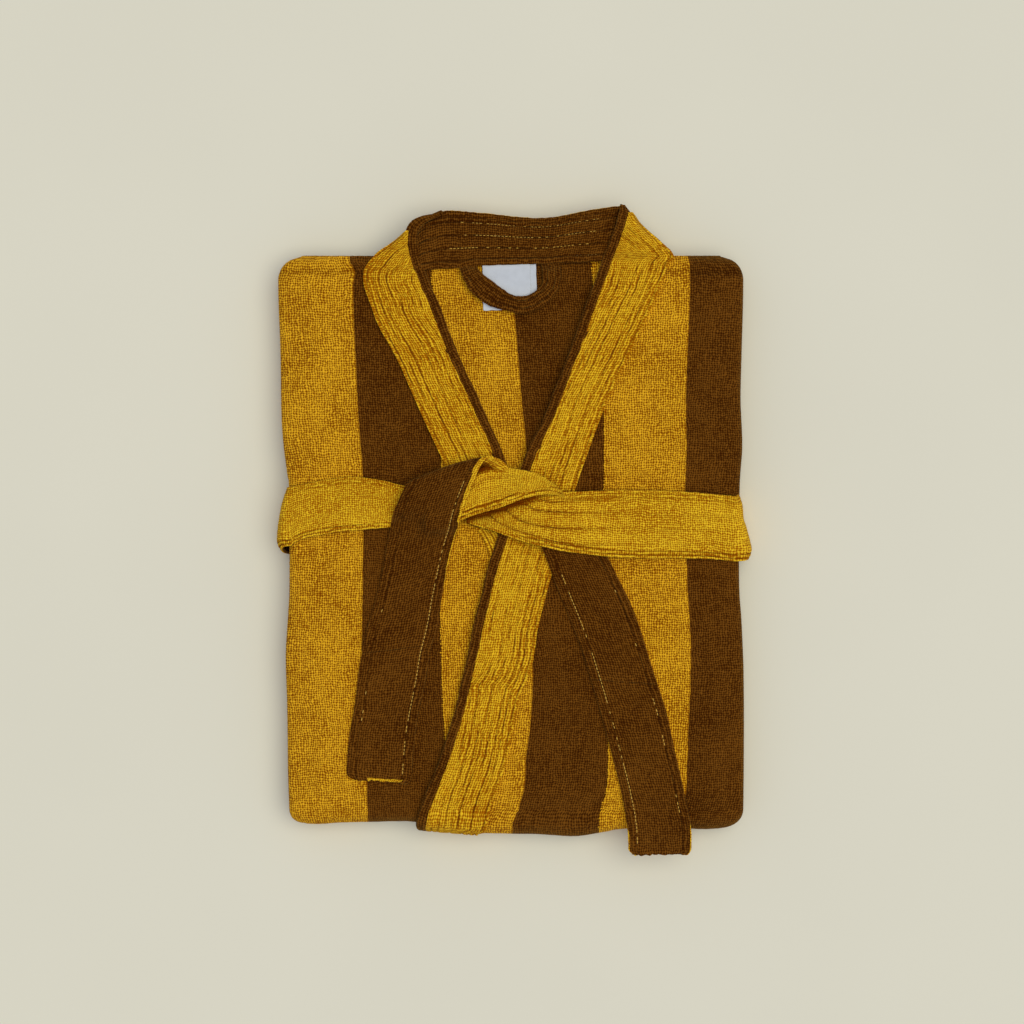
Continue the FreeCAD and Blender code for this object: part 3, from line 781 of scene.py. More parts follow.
def front_band(name, side, r, free, outer, start):
    """The ochre band, from its brown lip to its seam."""
    v = down_packet(2.0, start=start)[:, None]
    u = stations(BAND_WIDTH, 0.9)
    x_in = along(free)(v) + side * LIP
    x_out = along(outer)(v)
    x_in = np.where(v < start + 30, side * np.minimum(side * x_in, side * x_out - 1.0), x_in)
    x = x_in + (x_out - x_in) * (u / BAND_WIDTH)
    narrow = np.clip(np.abs(x_out - x_in) / 40, 0.1, 1)
    lean = np.hypot(1, np.clip(np.gradient(x_out, v[:, 0], axis=0), -0.6, 0.6))
    edge = np.abs(x_out - x) / lean
    deep = band_rows(edge, v) * narrow
    radius = r + band_pucker(edge, v) * narrow - 1.6 * deep + 0.6 * bell(edge - 1.5, 0.8) * narrow
    radius = radius + 0.3 * noise(edge, v, 30, 5)
    beyond = np.clip((16 - v) / 55, 0, 1) * step_up(u, BAND_WIDTH - 34, BAND_WIDTH)
    mid = folded(x, radius - 16.0 * beyond ** 1.6, v, shoulder=False)[:, ::side]
    uv = grid_of(-side * edge, run_length(np.hstack([v, x_out]))[:, None])[:, ::side]
    half = half_thickness(v, u, SHEET * 1.25)
    # the sewn rows are also painted darker: painted shade in the rows' grooves
    robe_cloth(name, mid, half, uv, "ochre_terry", np.clip(0.95 * deep, 0, 0.95)[:, ::side], 0.3)


LIP_SECTION = [
    (30.0, -1.2), (14.0, -1.2), (4.0, -1.2), (1.3, -0.4), (0.9, 1.2), (2.2, 2.5), (5.0, 2.75), (LIP, 2.1),
    (LIP + 3, 1.2),
]


def rows_along(edge, start):
    """Distances down the packet, and along the edge, of rows about 2 mm apart along a band's free edge."""
    fine = smooth_line(edge)
    run = run_length(fine)
    begin, level = np.interp([start, 40], fine[:, 0], run)
    steps = np.concatenate([begin + NEAR_END, np.arange(begin + 2.5, level, 2.0)])
    rows = down_packet(2.0, start=start)
    v = np.concatenate([np.interp(steps, run, fine[:, 0]), rows[rows > 41]])
    return v, np.interp(v, fine[:, 0], run)


def band_facing(name, side, r, free, outer, start):
    """The brown facing: rolled over the free edge as a lip, and running on under the band."""
    v, length = rows_along(free, start)
    edge = along(free)(v)
    slope, down = np.gradient(edge, length)[:, None], np.gradient(v, length)[:, None]
    v, length, edge = v[:, None], length[:, None], edge[:, None]
    section = smooth_line(LIP_SECTION)
    run = run_length(section)
    u = stations(run[-1], 0.9, 0.9)
    dx, dr = read_line(section, run, u)
    ending = step_up(length - length[0], 0, 34)
    room = np.where(v < -20, (side * (along(outer)(v) - edge) - 0.5) / (LIP + 3), 1.0)
    visible = np.clip(room, 0.2, 1) if side > 0 else 0.12 + 0.88 * ending
    under = 0.12 + 0.88 * step_up(v, start + 10, start + 90)
    wobble = 0.4 * noise(v, 0.0, 26, 41) + 0.3 * noise(v, 0.0, 9, 42)
    offset = dx * np.where((dr < 0) & (dx > 3), under, visible) + wobble
    size = np.hypot(slope, down)
    relief = 0.22 * noise(u * 1.4, length, 4.2, 43)
    groove = bell(dx - 5.0, 0.8) * (dr > 1.5)
    radius = r + (dr + relief) * (0.35 + 0.65 * ending) - 0.6 * groove
    x, v_bent = edge + side * offset * (down / size), v - side * offset * (slope / size)
    mid = folded(x, radius, v_bent, shoulder=False)
    half = half_thickness(length, u, SHEET * 0.9, 0.9)
    # painted shade in the groove along the lip
    painted_shading = np.broadcast_to(0.3 * groove, half.shape)
    mid, half, uv, painted_shading = (values[:, ::side] for values in (mid, half, grid_of(u, length), painted_shading))
    robe_cloth(name, mid, half, uv, "brown_terry", painted_shading)


def front_bands():
    """Both bands and their facings."""
    band_facing("left_band_facing", 1, R_LEFT_FRONT, LEFT_FREE, LEFT_OUTER, -48.6)
    front_band("left_front_band", 1, R_LEFT_BAND, LEFT_FREE, LEFT_OUTER, -41.0)
    band_facing("right_band_facing", -1, R_RIGHT_FRONT, RIGHT_FREE, RIGHT_OUTER, -40.0)
    front_band("right_front_band", -1, R_RIGHT_BAND, RIGHT_FREE, RIGHT_OUTER, -24.5)


# ---- the neck ----
COLLAR_TOP = [
    (-97, 262), (-93.5, 270), (-90, 277.5), (-84.5, 284), (-77.5, 288.8), (-66, 292.8), (-52, 293.5),
    (-27, 291.3), (27, 286.7), (64, 292.6), (85, 296.3), (100, 298),
]
NECK_SEAM = [(-91, 237), (-77, 238.6), (-50, 240), (-27, 242.4), (24, 244), (88, 246.6)]
COLLAR_Z = extent("collar_facing")[1][2] - SHEET / 2
COLLAR_DEPTH = 50.0
COLLAR_ROWS = (10.0, 21.5, 33.0, 44.0)      # depths of the rows of topstitching
COLLAR_EDGE_SEAM = 5.4      # depth of the seam under the rolled top edge
COLLAR_LENGTH = 205.0
# each row of topstitching: where it shows, as shares of the collar's length, and how much is clear
COLLAR_THREADS = (
    ((0.17, 0.94), 0.6), ((0.22, 0.93), 0.75), ((0.18, 0.97), 0.6), ((0.82, 0.97), 0.5),
)


def collar_place(share, depth):
    """X and Y on the collar, from the share of its length and the depth below its top edge."""
    top = np.stack([-97 + 197 * share, along(COLLAR_TOP)(-97 + 197 * share)], -1)
    seam = np.stack([-91 + 179 * share, along(NECK_SEAM)(-91 + 179 * share)], -1)
    t = (depth / COLLAR_DEPTH)[..., None]
    return top * (1 - t) + seam * t


def collar_rows(depth):
    """How deep a place lies in one of the collar's sewn rows, from 0 to 1."""
    return sum(bell(depth - row, 1.0) for row in COLLAR_ROWS)


def collar_height(share, depth):
    """Height of the collar's facing: a rolled top edge, sewn rows and a soft roll over the neck seam."""
    z = COLLAR_Z + 2.4 + 0.35 * noise(share * 200, depth, 30, 50) - 1.1 * collar_rows(depth)
    z = z - 0.8 * bell(depth - COLLAR_EDGE_SEAM, 0.9)
    return z - 5.0 * (1 - step_up(depth, -4, 34)) + 1.8 * bell(depth - 47, 3.5)


def collar():
    """The band behind the neck: brown facing up, ochre band under it."""
    across, down = stations(COLLAR_LENGTH, 1.8), stations(COLLAR_DEPTH, 1.0)
    share, depth = np.meshgrid(across / COLLAR_LENGTH, down)
    z = collar_height(share, depth) + 0.14 * noise(share * 200, depth, 3.3, 51)
    mid = np.concatenate([collar_place(share, depth), z[..., None]], -1)
    uv = grid_of(depth, share * COLLAR_LENGTH)
    half = half_thickness(down, across, SHEET * 1.35)
    # painted shade in the sewn rows and in the seam under the rolled top edge
    painted_shading = 0.5 * collar_rows(depth) + 0.35 * bell(depth - COLLAR_EDGE_SEAM, 0.8)
    robe_cloth("collar_facing", mid, half, uv, "brown_terry", painted_shading)
    robe_cloth("collar_band", mid + np.array([0.0, 0.6, -1.2 * SHEET]), half, uv, "ochre_terry")
    piece(thread_piece("collar_topstitch", collar_threads()), "robe", "ochre_thread", "collar_topstitch")


def collar_threads():
    """The collar's rows of topstitching, where they stand clear of the pile."""
    runs = []
    for row, (span, keep) in enumerate(COLLAR_THREADS):
        share = np.linspace(*span, 90)
        depth = np.full(90, COLLAR_ROWS[row])
        z = collar_height(share, depth) + SHEET * 0.68 + 0.15
        line = np.concatenate([collar_place(share, depth), z[:, None]], -1)
        runs.append(stitched(line, np.tile([0.0, 0, 1], (90, 1)), 3.4, 2.8, 0.40, keep, 60 + row))
    return runs


DASH_RINGS, DASH_AROUND = 5, 6                    # of one stitch
DASH_POINTS = DASH_RINGS * DASH_AROUND
DASH_FACES = (DASH_RINGS - 1) * DASH_AROUND + 4


def dash(centre, heading, up, length, radius):
    """Points and faces of one stitch: a closed capsule pressed flat on the cloth."""
    side = np.cross(up, heading)
    verts, faces = [], []
    for s in np.linspace(-1, 1, DASH_RINGS):
        girth = radius * math.sqrt(max(1 - s ** 4, 0.06))
        for k in range(DASH_AROUND):
            a = 2 * math.pi * k / DASH_AROUND
            lift = math.sin(a) * girth * 0.8 + radius * 0.35 * (1 - s * s)
            verts.append(centre + heading * (s * length / 2) + (side * math.cos(a) * girth + up * lift))
    for first in range(0, (DASH_RINGS - 1) * DASH_AROUND, DASH_AROUND):
        for k in range(DASH_AROUND):
            a, b = first + k, first + (k + 1) % DASH_AROUND
            faces.append((a, b, b + DASH_AROUND, a + DASH_AROUND))
    for base, turn in ((0, -1), ((DASH_RINGS - 1) * DASH_AROUND, 1)):
        for corners in ((0, 1, 4, 5), (1, 2, 3, 4)):
            faces.append(tuple(base + k for k in corners[::turn]))
    return verts, faces


def joined(runs):
    """One set of points and faces from several."""
    verts, faces = [], []
    for v, f in runs:
        faces += [tuple(i + len(verts) for i in corners) for corners in f]
        verts += v
    return verts, faces


def stitched(line, normals, pitch, length, radius, keep, seed):
    """A run of stitches along a line. About the share keep of them, in patches, stands clear of the pile."""
    run = run_length(line)
    dashes = []
    for k, s in enumerate(np.arange(pitch, run[-1] - pitch, pitch)):
        if random01(float(k), 3.0, seed) > keep + 0.5 * noise(s, 0.0, 22.0, seed):
            continue
        ends = [np.array(read_line(line, run, s + d)) for d in (-0.5, 0.5)]
        heading = (ends[1] - ends[0]) / np.linalg.norm(ends[1] - ends[0])
        up = np.array(read_line(normals, run, s))
        up = up - heading * (up @ heading)
        up /= np.linalg.norm(up)
        reach = length * (0.85 + 0.3 * random01(float(k), 5.0, seed))
        dashes.append(dash((ends[0] + ends[1]) / 2, heading, up, reach, radius))
    return joined(dashes)


def thread_piece(name, runs):
    """One mesh of several runs of stitches."""
    verts, faces = joined(runs)
    return mesh_object(name + "_threads", np.array(verts), [np.array(faces)], [THREADS])


def back_rise(x, y):
    """How far the back's inner face stands above its CAD place."""
    return Puff.at(x, y) * R_BACK / R_LEFT_BAND


def neck_label():
    """A blank white label, folded double, sewn under the collar; one leaf shows beside the other."""
    low, high = extent("neck_label")
    top = high[1] + 3.0
    u = stations(high[0] - 6.0 - low[0], 1.2, 0.4)
    v = stations(top - (low[1] + 1.5), 1.2, 0.4)[:, None]
    x = low[0] + u + (v - 20) * 0.02
    y = top - v + (u - 25) * 0.035
    z = low[2] + 2.0 + 0.4 * np.sin(u / 17) * step_up(v, 6, 40) + np.maximum(back_rise(x, y), 0)
    mid, uv, half = grid_of(x, y, z), grid_of(u, v), half_thickness(v, u, 0.45, 0.4)
    robe_cloth("neck_label", mid, half, uv, "white_tape")
    leaf = cloth("neck_label_back_leaf", mid + np.array([5.6, 0.8, -1.0]), half, uv, [WHITE_TAPE])
    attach(leaf, "robe")


LOOP_OUTER = [
    (-47, 247), (-47.8, 238.6), (-39, 220), (-24, 206.6), (-5.5, 200.6), (13, 198.3), (31, 206.6),
    (42, 220), (45, 235), (44, 248),
]
LOOP_INNER = [
    (-30, 247), (-32, 241), (-26.7, 234), (-13, 223.6), (0.7, 214.6), (14.4, 214.4), (26.7, 223.6),
    (28, 234), (26, 248),
]


LOOP_LENGTH = 150.0
LOOP_WIDTH = 16.5


def hanging_loop():
    """The hanging loop: a ridged brown strap that bends over at the neck seam."""
    z_hinge = joint_at("hanging_loop_flip")[2]
    v = stations(LOOP_LENGTH, 1.3)[:, None]
    u = stations(LOOP_WIDTH, 0.8)
    xy = between(LOOP_OUTER, LOOP_INNER, v[:, 0] / LOOP_LENGTH, u, LOOP_WIDTH)
    t = u / LOOP_WIDTH * 2 - 1
    groove = bell(np.abs(t) - 0.42, 0.1)
    crown = 1.5 + 1.9 * (1 - t ** 2) - 0.7 * groove
    dive = step_up(xy[..., 1], 234, 244)
    z = z_hinge + 1.2 + crown * (1 - 0.6 * dive) - 4.0 * dive + 0.5 * noise(v, 0.0, 24, 70)
    z = z + 0.15 * noise(u, v, 3.2, 71) + np.maximum(back_rise(xy[..., 0], xy[..., 1]), 0) * (1 - dive)
    mid = grid_of(xy[..., 0], xy[..., 1], z)
    half = half_thickness(v, u, 3.4, 1.6)
    # painted shade in the loop's two grooves
    loop = cloth("hanging_loop", mid, half, grid_of(u, v), [BROWN_TERRY], 0.14 * groove)
    span = (0, 247.5, z_hinge), (0, 236, z_hinge)
    blended(loop, ("robe", "hanging_loop"), span, "brown_terry", "hanging_loop")


# ---- what lies under the belt ----
class Ground:
    """A raster of the highest cloth at each place, on which the belt is laid."""
    step = 2.0

    def __init__(self):
        size = ((RASTER_HIGH - RASTER_LOW) / self.step).astype(int) + 1
        self.z = np.zeros((size[1], size[0]))

    def add(self, points):
        """Raises the ground to a cloud of surface points, and one cell round each."""
        cell = np.round((points[:, :2] - RASTER_LOW) / self.step).astype(int)
        inside = ((cell >= 0) & (cell < self.z.shape[::-1])).all(1)
        layer = np.zeros_like(self.z)
        np.maximum.at(layer, (cell[inside, 1], cell[inside, 0]), points[inside, 2])
        for axis in (0, 1):
            layer = np.maximum(layer, np.maximum(np.roll(layer, 1, axis), np.roll(layer, -1, axis)))
        self.z = np.maximum(self.z, layer)

    def add_piece(self, made):
        self.add(vertex_places(made))

    def swept(self, travel):
        """The ground, raised to whatever comes under each place as it slides along Y both ways."""
        ground = Ground()
        ground.z = self.z.copy()
        cells = int(math.ceil(travel / self.step))
        for shift in range(1, cells + 1):
            ground.z[shift:] = np.maximum(ground.z[shift:], self.z[:-shift])
            ground.z[:-shift] = np.maximum(ground.z[:-shift], self.z[shift:])
        return ground

    def at(self, x, y):
        return read_raster(self.z, self.step, x, y)


def laid(floor, passes=60):
    """Heights of a cloth laid on a floor: never under it, and stretched smoothly between its high places."""
    z = floor.copy()
    for _ in range(passes):
        z = np.maximum(blurred(z), floor)
    return blurred(z, 3)


# ---- the belt ----
LEFT_HIGH = [(-206, 38), (-163, 46.2), (-140, 47.4), (-117, 44.2), (-96, 39.3), (-60, 36)]
LEFT_LOW = [(-206, -19), (-195, -10), (-163, -3.2), (-137, -0.9), (-112, 1.4), (-60, 4)]
RIGHT_HIGH = [(-42, 16), (-10, 24), (20, 30.5), (44, 33.5), (60, 34.2), (99, 35.5), (160, 34), (206, 30)]
RIGHT_LOW = [
    (-42, 6.5), (-32, 3), (-12, -3.2), (3, -9), (20, -13.6), (37, -18.2), (53, -21), (99, -26),
    (150, -26.5), (188, -28), (206, -30),
]
PLEATS = [          # valleys of the pleats in the right strand, each in X and Y
    [(-42, 18), (14, 24), (25.8, 26.7), (36, 24.4), (53, 25.5), (100, 27), (206, 22)],
    [(-42, 16), (4, 22), (14.3, 22.6), (22.3, 17.5), (53, 15.2), (100, 14.5), (206, 10)],
    [(-42, 13), (-10, 18), (-4, 16.5), (6, 8.3), (26, 2.5), (53, 0.2), (100, 0.5), (206, -2)],
    [(-42, 11), (-26, 13), (-20, 12.5), (-9, 3.7), (14, -4.4), (53, -13.6), (100, -14.5), (206, -14)],
]
SIDE_X = 203.0                          # where the belt starts to turn down at the packet's sides
SIDE_BULGE = {       # how far the belt stands out round each side, at shares of its width from its upper edge
    -1: [(0, 3.0), (0.2, 7.5), (0.42, 10.5), (0.7, 12.6), (0.9, 12.4), (1, 9.5)],
    1: [(0, 4.5), (0.15, 8), (0.4, 10), (0.58, 13.5), (0.8, 16.8), (0.93, 16.5), (1, 14)],
}


BELT_SEAMS = ((2.7, 1.0), (6.0, 0.9))       # from an edge, and how deep
TAIL_SEAMS = ((3.4, 0.45), (8.0, 0.8))


def strap_seams(u, width, seams=BELT_SEAMS, upper=1.0):
    """How deep a place lies in one of the seams along each edge of a strap, from 0 to 1."""
    edge = np.minimum(u, width - u)
    deep = sum(depth * bell(edge - place, 0.8) for place, depth in seams)
    return deep * np.where(u < width / 2, upper, 1)


def strap_relief(u, v, width, seams=BELT_SEAMS, upper=1.0):
    """Edge seams and uneven pile along a strap."""
    pile = 0.4 * noise(u, v, 34, 80) + 0.3 * noise(u * 1.6, v * 0.6, 12, 81) + 0.16 * noise(u, v, 3.3, 82)
    return pile - 0.9 * strap_seams(u, width, seams, upper)


def pleats(x, y):
    """Rounded pleats between the valleys, as a height and how deep it lies in a valley.

    They gather the right strand into the knot and fade away from it."""
    rounded = np.zeros(y.shape)
    valleys = np.array([along(p)(x[:, 0]) for p in PLEATS])
    for row in range(len(x)):
        ends = [y[row].max() + 2, *valleys[:, row], y[row].min() - 2]
        phase = np.interp(y[row], ends[::-1], np.arange(len(ends))[::-1])
        rounded[row] = np.abs(np.sin(np.pi * phase)) ** 0.6
    strength = 1 - step_up(x, 10, 110)
    return (rounded - 0.6) * (0.15 + 2.4 * strength), (1 - rounded) ** 2 * (0.12 + 0.95 * strength)


def strand_on_top(ground, high_edge, low_edge, x_line, u):
    """Points of a strand between its two edges, laid on what is under it."""
    x = x_line[:, None]
    y_high, y_low = along(high_edge)(x), along(low_edge)(x)
    y = y_high + (y_low - y_high) * (u / WRAP_WIDTH)
    return grid_of(x, y, laid(ground.at(x, y)) + STRAP / 2 + 0.35)


def side_turn(rim, side, straight, u):
    """Points of the belt from a strand's rim at the packet's side down to its straight run underneath."""
    turn = np.linspace(0, np.pi, 30)[1:-1, None]
    upright = np.sign(np.cos(turn)) * np.abs(np.cos(turn)) ** 0.75
    middle, reach = (rim[:, 2] + WRAP_LOW_Z) / 2, (rim[:, 2] - WRAP_LOW_Z) / 2
    share = step_up(turn, 0, np.pi)
    y = rim[:, 1] * (1 - share) + straight * share
    x = side * (SIDE_X + np.sin(turn) ** 0.62 * along(SIDE_BULGE[side])(u / WRAP_WIDTH))
    return grid_of(x, y, middle + reach * upright)


def knot_shade(x, y):
    """How far a place on the right strand lies in the dark under the knot, from 0 to 1."""
    below = along(OVER_LOW)(x) - y
    return bell(np.maximum(below - 1.5, 0), 4.2) * step_up(below, -6, -2) * (1 - step_up(x, 8, 34))


WRAP_WIDTH = 60.0
WRAP_LOW_Z = BELT_PRESS - STRAP / 2 - 0.3      # of the same run
UNDER_ROWS = 60             # of the belt's straight run underneath


def belt_wrap(ground):
    """The belt from under the left tail, round the packet and back to the knot."""
    u = stations(WRAP_WIDTH, 0.9)
    x_left = np.concatenate([-66 - 1.2 * NEAR_RIM, np.arange(-67.2, -SIDE_X, -1.8), [-SIDE_X]])
    x_right = np.concatenate([[SIDE_X], np.arange(SIDE_X - 1.8, -40.8, -1.8), -42 + 1.2 * NEAR_RIM[::-1]])
    left = strand_on_top(ground, LEFT_HIGH, LEFT_LOW, x_left, u)
    right = strand_on_top(ground, RIGHT_HIGH, RIGHT_LOW, x_right, u)
    straight = BELT_HIGH_Y + (BELT_LOW_Y - BELT_HIGH_Y) * u / WRAP_WIDTH
    down, up = side_turn(left[-1], -1, straight, u), side_turn(right[0], 1, straight, u)[::-1]
    under = grid_of(np.linspace(-SIDE_X, SIDE_X, UNDER_ROWS)[:, None], straight, WRAP_LOW_Z)
    mid = np.concatenate([left, down, under, up, right])
    v = run_length(mid[:, len(u) // 2])[:, None]
    relief = strap_relief(u, v, WRAP_WIDTH, upper=0.4)
    # painted shade in the edge seams
    painted_shading = np.tile(strap_seams(u, WRAP_WIDTH, upper=0.4), (len(v), 1))
    height, deep = pleats(right[..., 0], right[..., 1])
    shaded = knot_shade(right[..., 0], right[..., 1])
    relief[-len(x_right):] += height - 1.2 * shaded
    # painted shade in the pleats' valleys and painted shadow under the knot
    painted_shading[-len(x_right):] += 1.2 * deep + 1.3 * shaded
    rubbed = np.ones((len(mid), 1))
    first = len(left) + len(down)
    rubbed[first:first + UNDER_ROWS] = 0.0
    mid = mid + facing_out(mid) * (relief * blurred(rubbed, 4))[..., None]
    half = half_thickness(v, u, STRAP)
    materials = [BELT_TERRY, BROWN_TERRY]
    made = cloth("belt_wrap", mid, half, grid_of(u, v), materials, np.clip(painted_shading, 0, 0.9), 0.18)
    return piece(made, "belt", "ochre_terry", "belt_wrap")


OVER_HIGH = [
    (-76, 26), (-55, 38), (-38, 50), (-24, 57), (-12, 57.5), (-2, 55.4), (8.5, 53.7), (20, 50.8),
    (31.5, 45), (41, 38), (49, 31),
]
OVER_LOW = [
    (-76, 2), (-62, 4), (-47.8, 8.3), (-32, 14), (-20, 17.3), (-8.7, 20.9), (2.8, 25.5), (14.3, 29.4),
    (26, 31.9), (37, 32), (47, 29),
]


KNOT_LENGTH, KNOT_WIDTH = 135.0, 44.0


def belt_knot(ground):
    """The strand that crosses over in the knot, and tucks under the right strand's upper edge."""
    u = stations(KNOT_WIDTH, 0.9)
    v = stations(KNOT_LENGTH, 1.2)[:, None]
    share = v / KNOT_LENGTH
    xy = between(OVER_LOW, OVER_HIGH, share[:, 0], u, KNOT_WIDTH)
    x, y = xy[..., 0], xy[..., 1]
    t = u / KNOT_WIDTH
    crown = 2.6 + 3.0 * np.sin(np.pi * t) ** 0.6 * (1 - step_up(share, 0.7, 1.0))
    fold = bell(t - 0.60 - 0.30 * share, 0.07) * (1 - step_up(share, 0.45, 0.8))
    from_low = u * (np.linalg.norm(xy[:, -1:] - xy[:, :1], axis=2) / KNOT_WIDTH)
    seams = strap_seams(from_low, 3 * KNOT_WIDTH) * (1 - step_up(share, 0.93, 1.0))
    relief = strap_relief(from_low, v, 3 * KNOT_WIDTH) * (1 - step_up(share, 0.9, 1.0))
    z = laid(ground.at(x, y), 40) + STRAP / 2 + 0.3
    z = z + crown + relief - 1.8 * fold - 5.5 * step_up(share, 0.88, 1.0)
    # painted shade in the hollow under the left tail's arch
    in_arch = step_up(t, 0.80, 0.96) * (1 - step_up(x, -12, 0))
    # painted shade in the seams, the fold and under the arch; the 0.3 taken off lightens the whole knot as
    # painted light
    painted_shading = np.clip(2.0 * seams + 0.35 * fold + 1.35 * in_arch - 0.3, -0.4, 0.95)
    half = half_thickness(v, u, STRAP)
    made = cloth("belt_knot", grid_of(x, y, z), half, grid_of(u, v), [BELT_TERRY, BROWN_TERRY], painted_shading, 0.12)
    return piece(made, "belt", "ochre_terry", "belt_knot")


def between(edge_a, edge_b, share, u, width):
    """A grid of points between two edges, in as many dimensions as they have."""
    a, b = sampled(edge_a, share), sampled(edge_b, share)
    t = (u / width)[None, :, None]
    return a[:, None, :] * (1 - t) + b[:, None, :] * t


# a tail's edges as X, Y and least height. The left one comes up out of the knot and over its crest
LEFT_TAIL_EDGES = (
    [(-62, 25, 44), (-72, 34, 46), (-86, 40, 48.5), (-95, 41.6, 50.5), (-101.3, 31.3, 51), (-105.3, 22, 50),
     (-109, 13, 48), (-113.4, -8, 30), (-119, -38, 30), (-126, -68, 30), (-134, -95, 30), (-140, -127, 30),
     (-144.4, -162, 30), (-150, -196, 30), (-152, -229, 30)],
    [(8, 44, 44), (-1, 53.5, 47), (-6, 60, 50.5), (-12, 63.8, 54), (-20, 65.3, 56.8), (-26.5, 60.5, 58),
     (-31, 52.5, 58), (-35, 43, 57.2), (-39, 33, 55.5), (-42.5, 23.5, 53.8), (-47, 9, 50), (-52.4, -8, 30),
     (-58.2, -31, 30), (-64, -61, 30), (-68.5, -88, 30), (-74.5, -111, 30), (-79, -137, 30),
     (-84.6, -164, 30), (-89.2, -192, 30), (-92.5, -234, 30)])
RIGHT_TAIL_EDGES = (
    [(12, 16, 30), (27, -16, 30), (39.6, -49, 30), (51, -77, 30), (62.6, -107, 30), (74, -143.5, 30),
     (83.3, -176, 30), (91.3, -206, 30), (99.4, -238, 30), (105, -268, 30), (107, -299, 30)],
    [(70, 5, 30), (89, -28.5, 30), (97, -44.6, 30), (108.6, -68, 30), (117.8, -93, 30), (129.3, -130, 30),
     (141, -166.5, 30), (149, -203, 30), (157, -238, 30), (163.8, -272, 30), (165, -299, 30)])


LEFT_TAIL_RIMS = (
    [(0, 0)],
    [(0, 8.0), (24, 7.6), (38, 5.2), (60, 4.6), (80, 3.6), (100, 2.0), (150, 1.2), (170, 0)])
RIGHT_TAIL_RIMS = ([(0, 0), (292, 0), (300, 1.3)], [(0, 0), (288, 0), (296, 1.6)])
TAIL_WIDTH = 58.0


def tail_grid(edges, ground, length, laid_from):
    """Points of a whole tail: between its edges, no lower than the cloth beneath it, with a rounded end."""
    u, v = stations(TAIL_WIDTH, 0.9), stations(length, 1.5)[:, None]
    grid = between(*edges, v[:, 0] / length, u, TAIL_WIDTH)
    centre = (grid[:, :1] + grid[:, -1:]) / 2
    narrowed = 1 - corner_inset(length - v, 6.0) / (TAIL_WIDTH / 2)
    grid[..., :2] = centre[..., :2] + (grid - centre)[..., :2] * narrowed[..., None]
    crest = bell(v - laid_from + 4, 16) * (laid_from > 0)
    grid[..., 1] += 3.2 * np.sin(np.pi * u / TAIL_WIDTH) * crest
    floor = ground.at(grid[..., 0], grid[..., 1]) + STRAP / 2 + 0.35
    low = laid(np.where(v > laid_from, floor, 0))
    z = np.maximum(grid[..., 2], low * step_up(v, laid_from, laid_from + 14))
    z = z - 8.0 * (1 - step_up(v, laid_from - 14, laid_from)) * step_up(TAIL_WIDTH - u, 5, 15)
    grid[..., 2] = np.where(v > laid_from + 14, np.maximum(blurred(z, 12), low), blurred(z, 3))
    return grid, u, v


def add_tail(name, edges, ground, length, laid_from, shares, rims, end_rim=0.0):
    """A belt tail, cut in two between its joints, with a line of stitching near each long edge.

    It lies on the ground from laid_from on. shares say how much of each line of stitching is clear of the
    pile. rims give how wide the reverse side shows along the left and right edge, at distances down the
    tail, and end_rim how much of the end's edge it covers."""
    grid, u, v = tail_grid(edges, ground, length, laid_from)
    out = facing_out(grid)
    uv = grid_of(u, v)
    heading = np.gradient(grid[:, len(u) // 2], axis=0)[-8]
    frayed = noise(u, 0.0, 2.3, 84) * step_up(v, length - 4, length)
    grid = ragged(grid, uv, 0.16) + 1.1 * frayed[..., None] * heading / np.linalg.norm(heading)
    mid = grid + out * strap_relief(u, v, TAIL_WIDTH, TAIL_SEAMS)[..., None]
    left, right = (np.interp(v, *zip(*rim)) for rim in rims)
    reverse = (u < left) | (TAIL_WIDTH - u < right)
    reverse = reverse | (v > length - 1.5) & (np.abs(u - 0.6 * TAIL_WIDTH) < end_rim / 2)
    # painted shade inside the tail's arch, near its right edge, before it lies down
    inside = (1 - step_up(v, laid_from - 16, laid_from - 6)) * step_up(TAIL_WIDTH - u, 5, 13)
    # painted shade in the seams away from the reverse rim, and inside the arch
    painted_shading = 0.6 * strap_seams(u, TAIL_WIDTH, TAIL_SEAMS) * ~reverse + 0.9 * inside
    half = half_thickness(v, u, STRAP)
    threads = tail_threads(mid, out, half, u, v, shares)
    cut_tail(name, (mid, half, uv, reverse, np.clip(painted_shading, 0, 0.95)), threads)


def cut_tail(name, grids, threads):
    """Makes a tail's two parts with their stitching, cut near the joint between them."""
    mid, half = grids[:2]
    middle = mid[:, mid.shape[1] // 2]
    hinges = [joint_at(f"{name}_tail_{motion}") for motion in ("lift", "curl")]
    cut = np.argmin(np.linalg.norm(middle[:, :2] - hinges[1][:2], axis=1)) - 9
    heading = middle[cut + 8] - middle[cut - 8]
    heading = np.array([*heading[:2], 0]) / np.linalg.norm(heading[:2])
    bodies = ("belt", f"{name}_tail_upper", f"{name}_tail_lower")
    for k, rows in enumerate((slice(0, cut + 1), slice(cut, None))):
        node = "belt_" + bodies[k + 1]
        roots = ["belt_left_tail_root"] if node == "belt_left_tail_upper" else []
        span = hinges[k] - heading * 10, hinges[k] + heading * 12
        open_row = k - 1
        part = [values[rows].copy() for values in grids]
        part[1][open_row] = half[len(mid) // 2]
        made = tail_part(node, *part, open_row)
        blended(made, bodies[k:k + 2], span, "brown_terry", node, *roots)
        runs = [part_of_run(run, mid[cut, 0], mid[cut, -1], k == 1) for run in threads]
        thread = thread_piece(node + "_stitching", runs)
        blended(thread, bodies[k:k + 2], span, "ochre_thread", node + "_stitching")


def part_of_run(stitches, low, high, below):
    """The stitches below, or above, the cut between a tail's two parts, which runs from low to high."""
    points, faces = np.array(stitches[0]), stitches[1]
    across = high - low
    kept = []
    for k in range(len(points) // DASH_POINTS):
        group = points[k * DASH_POINTS:(k + 1) * DASH_POINTS]
        centre = group.mean(0) - low
        if (across[0] * centre[1] - across[1] * centre[0] < 0) == below:
            kept.append((list(group), faces[:DASH_FACES]))
    return joined(kept)


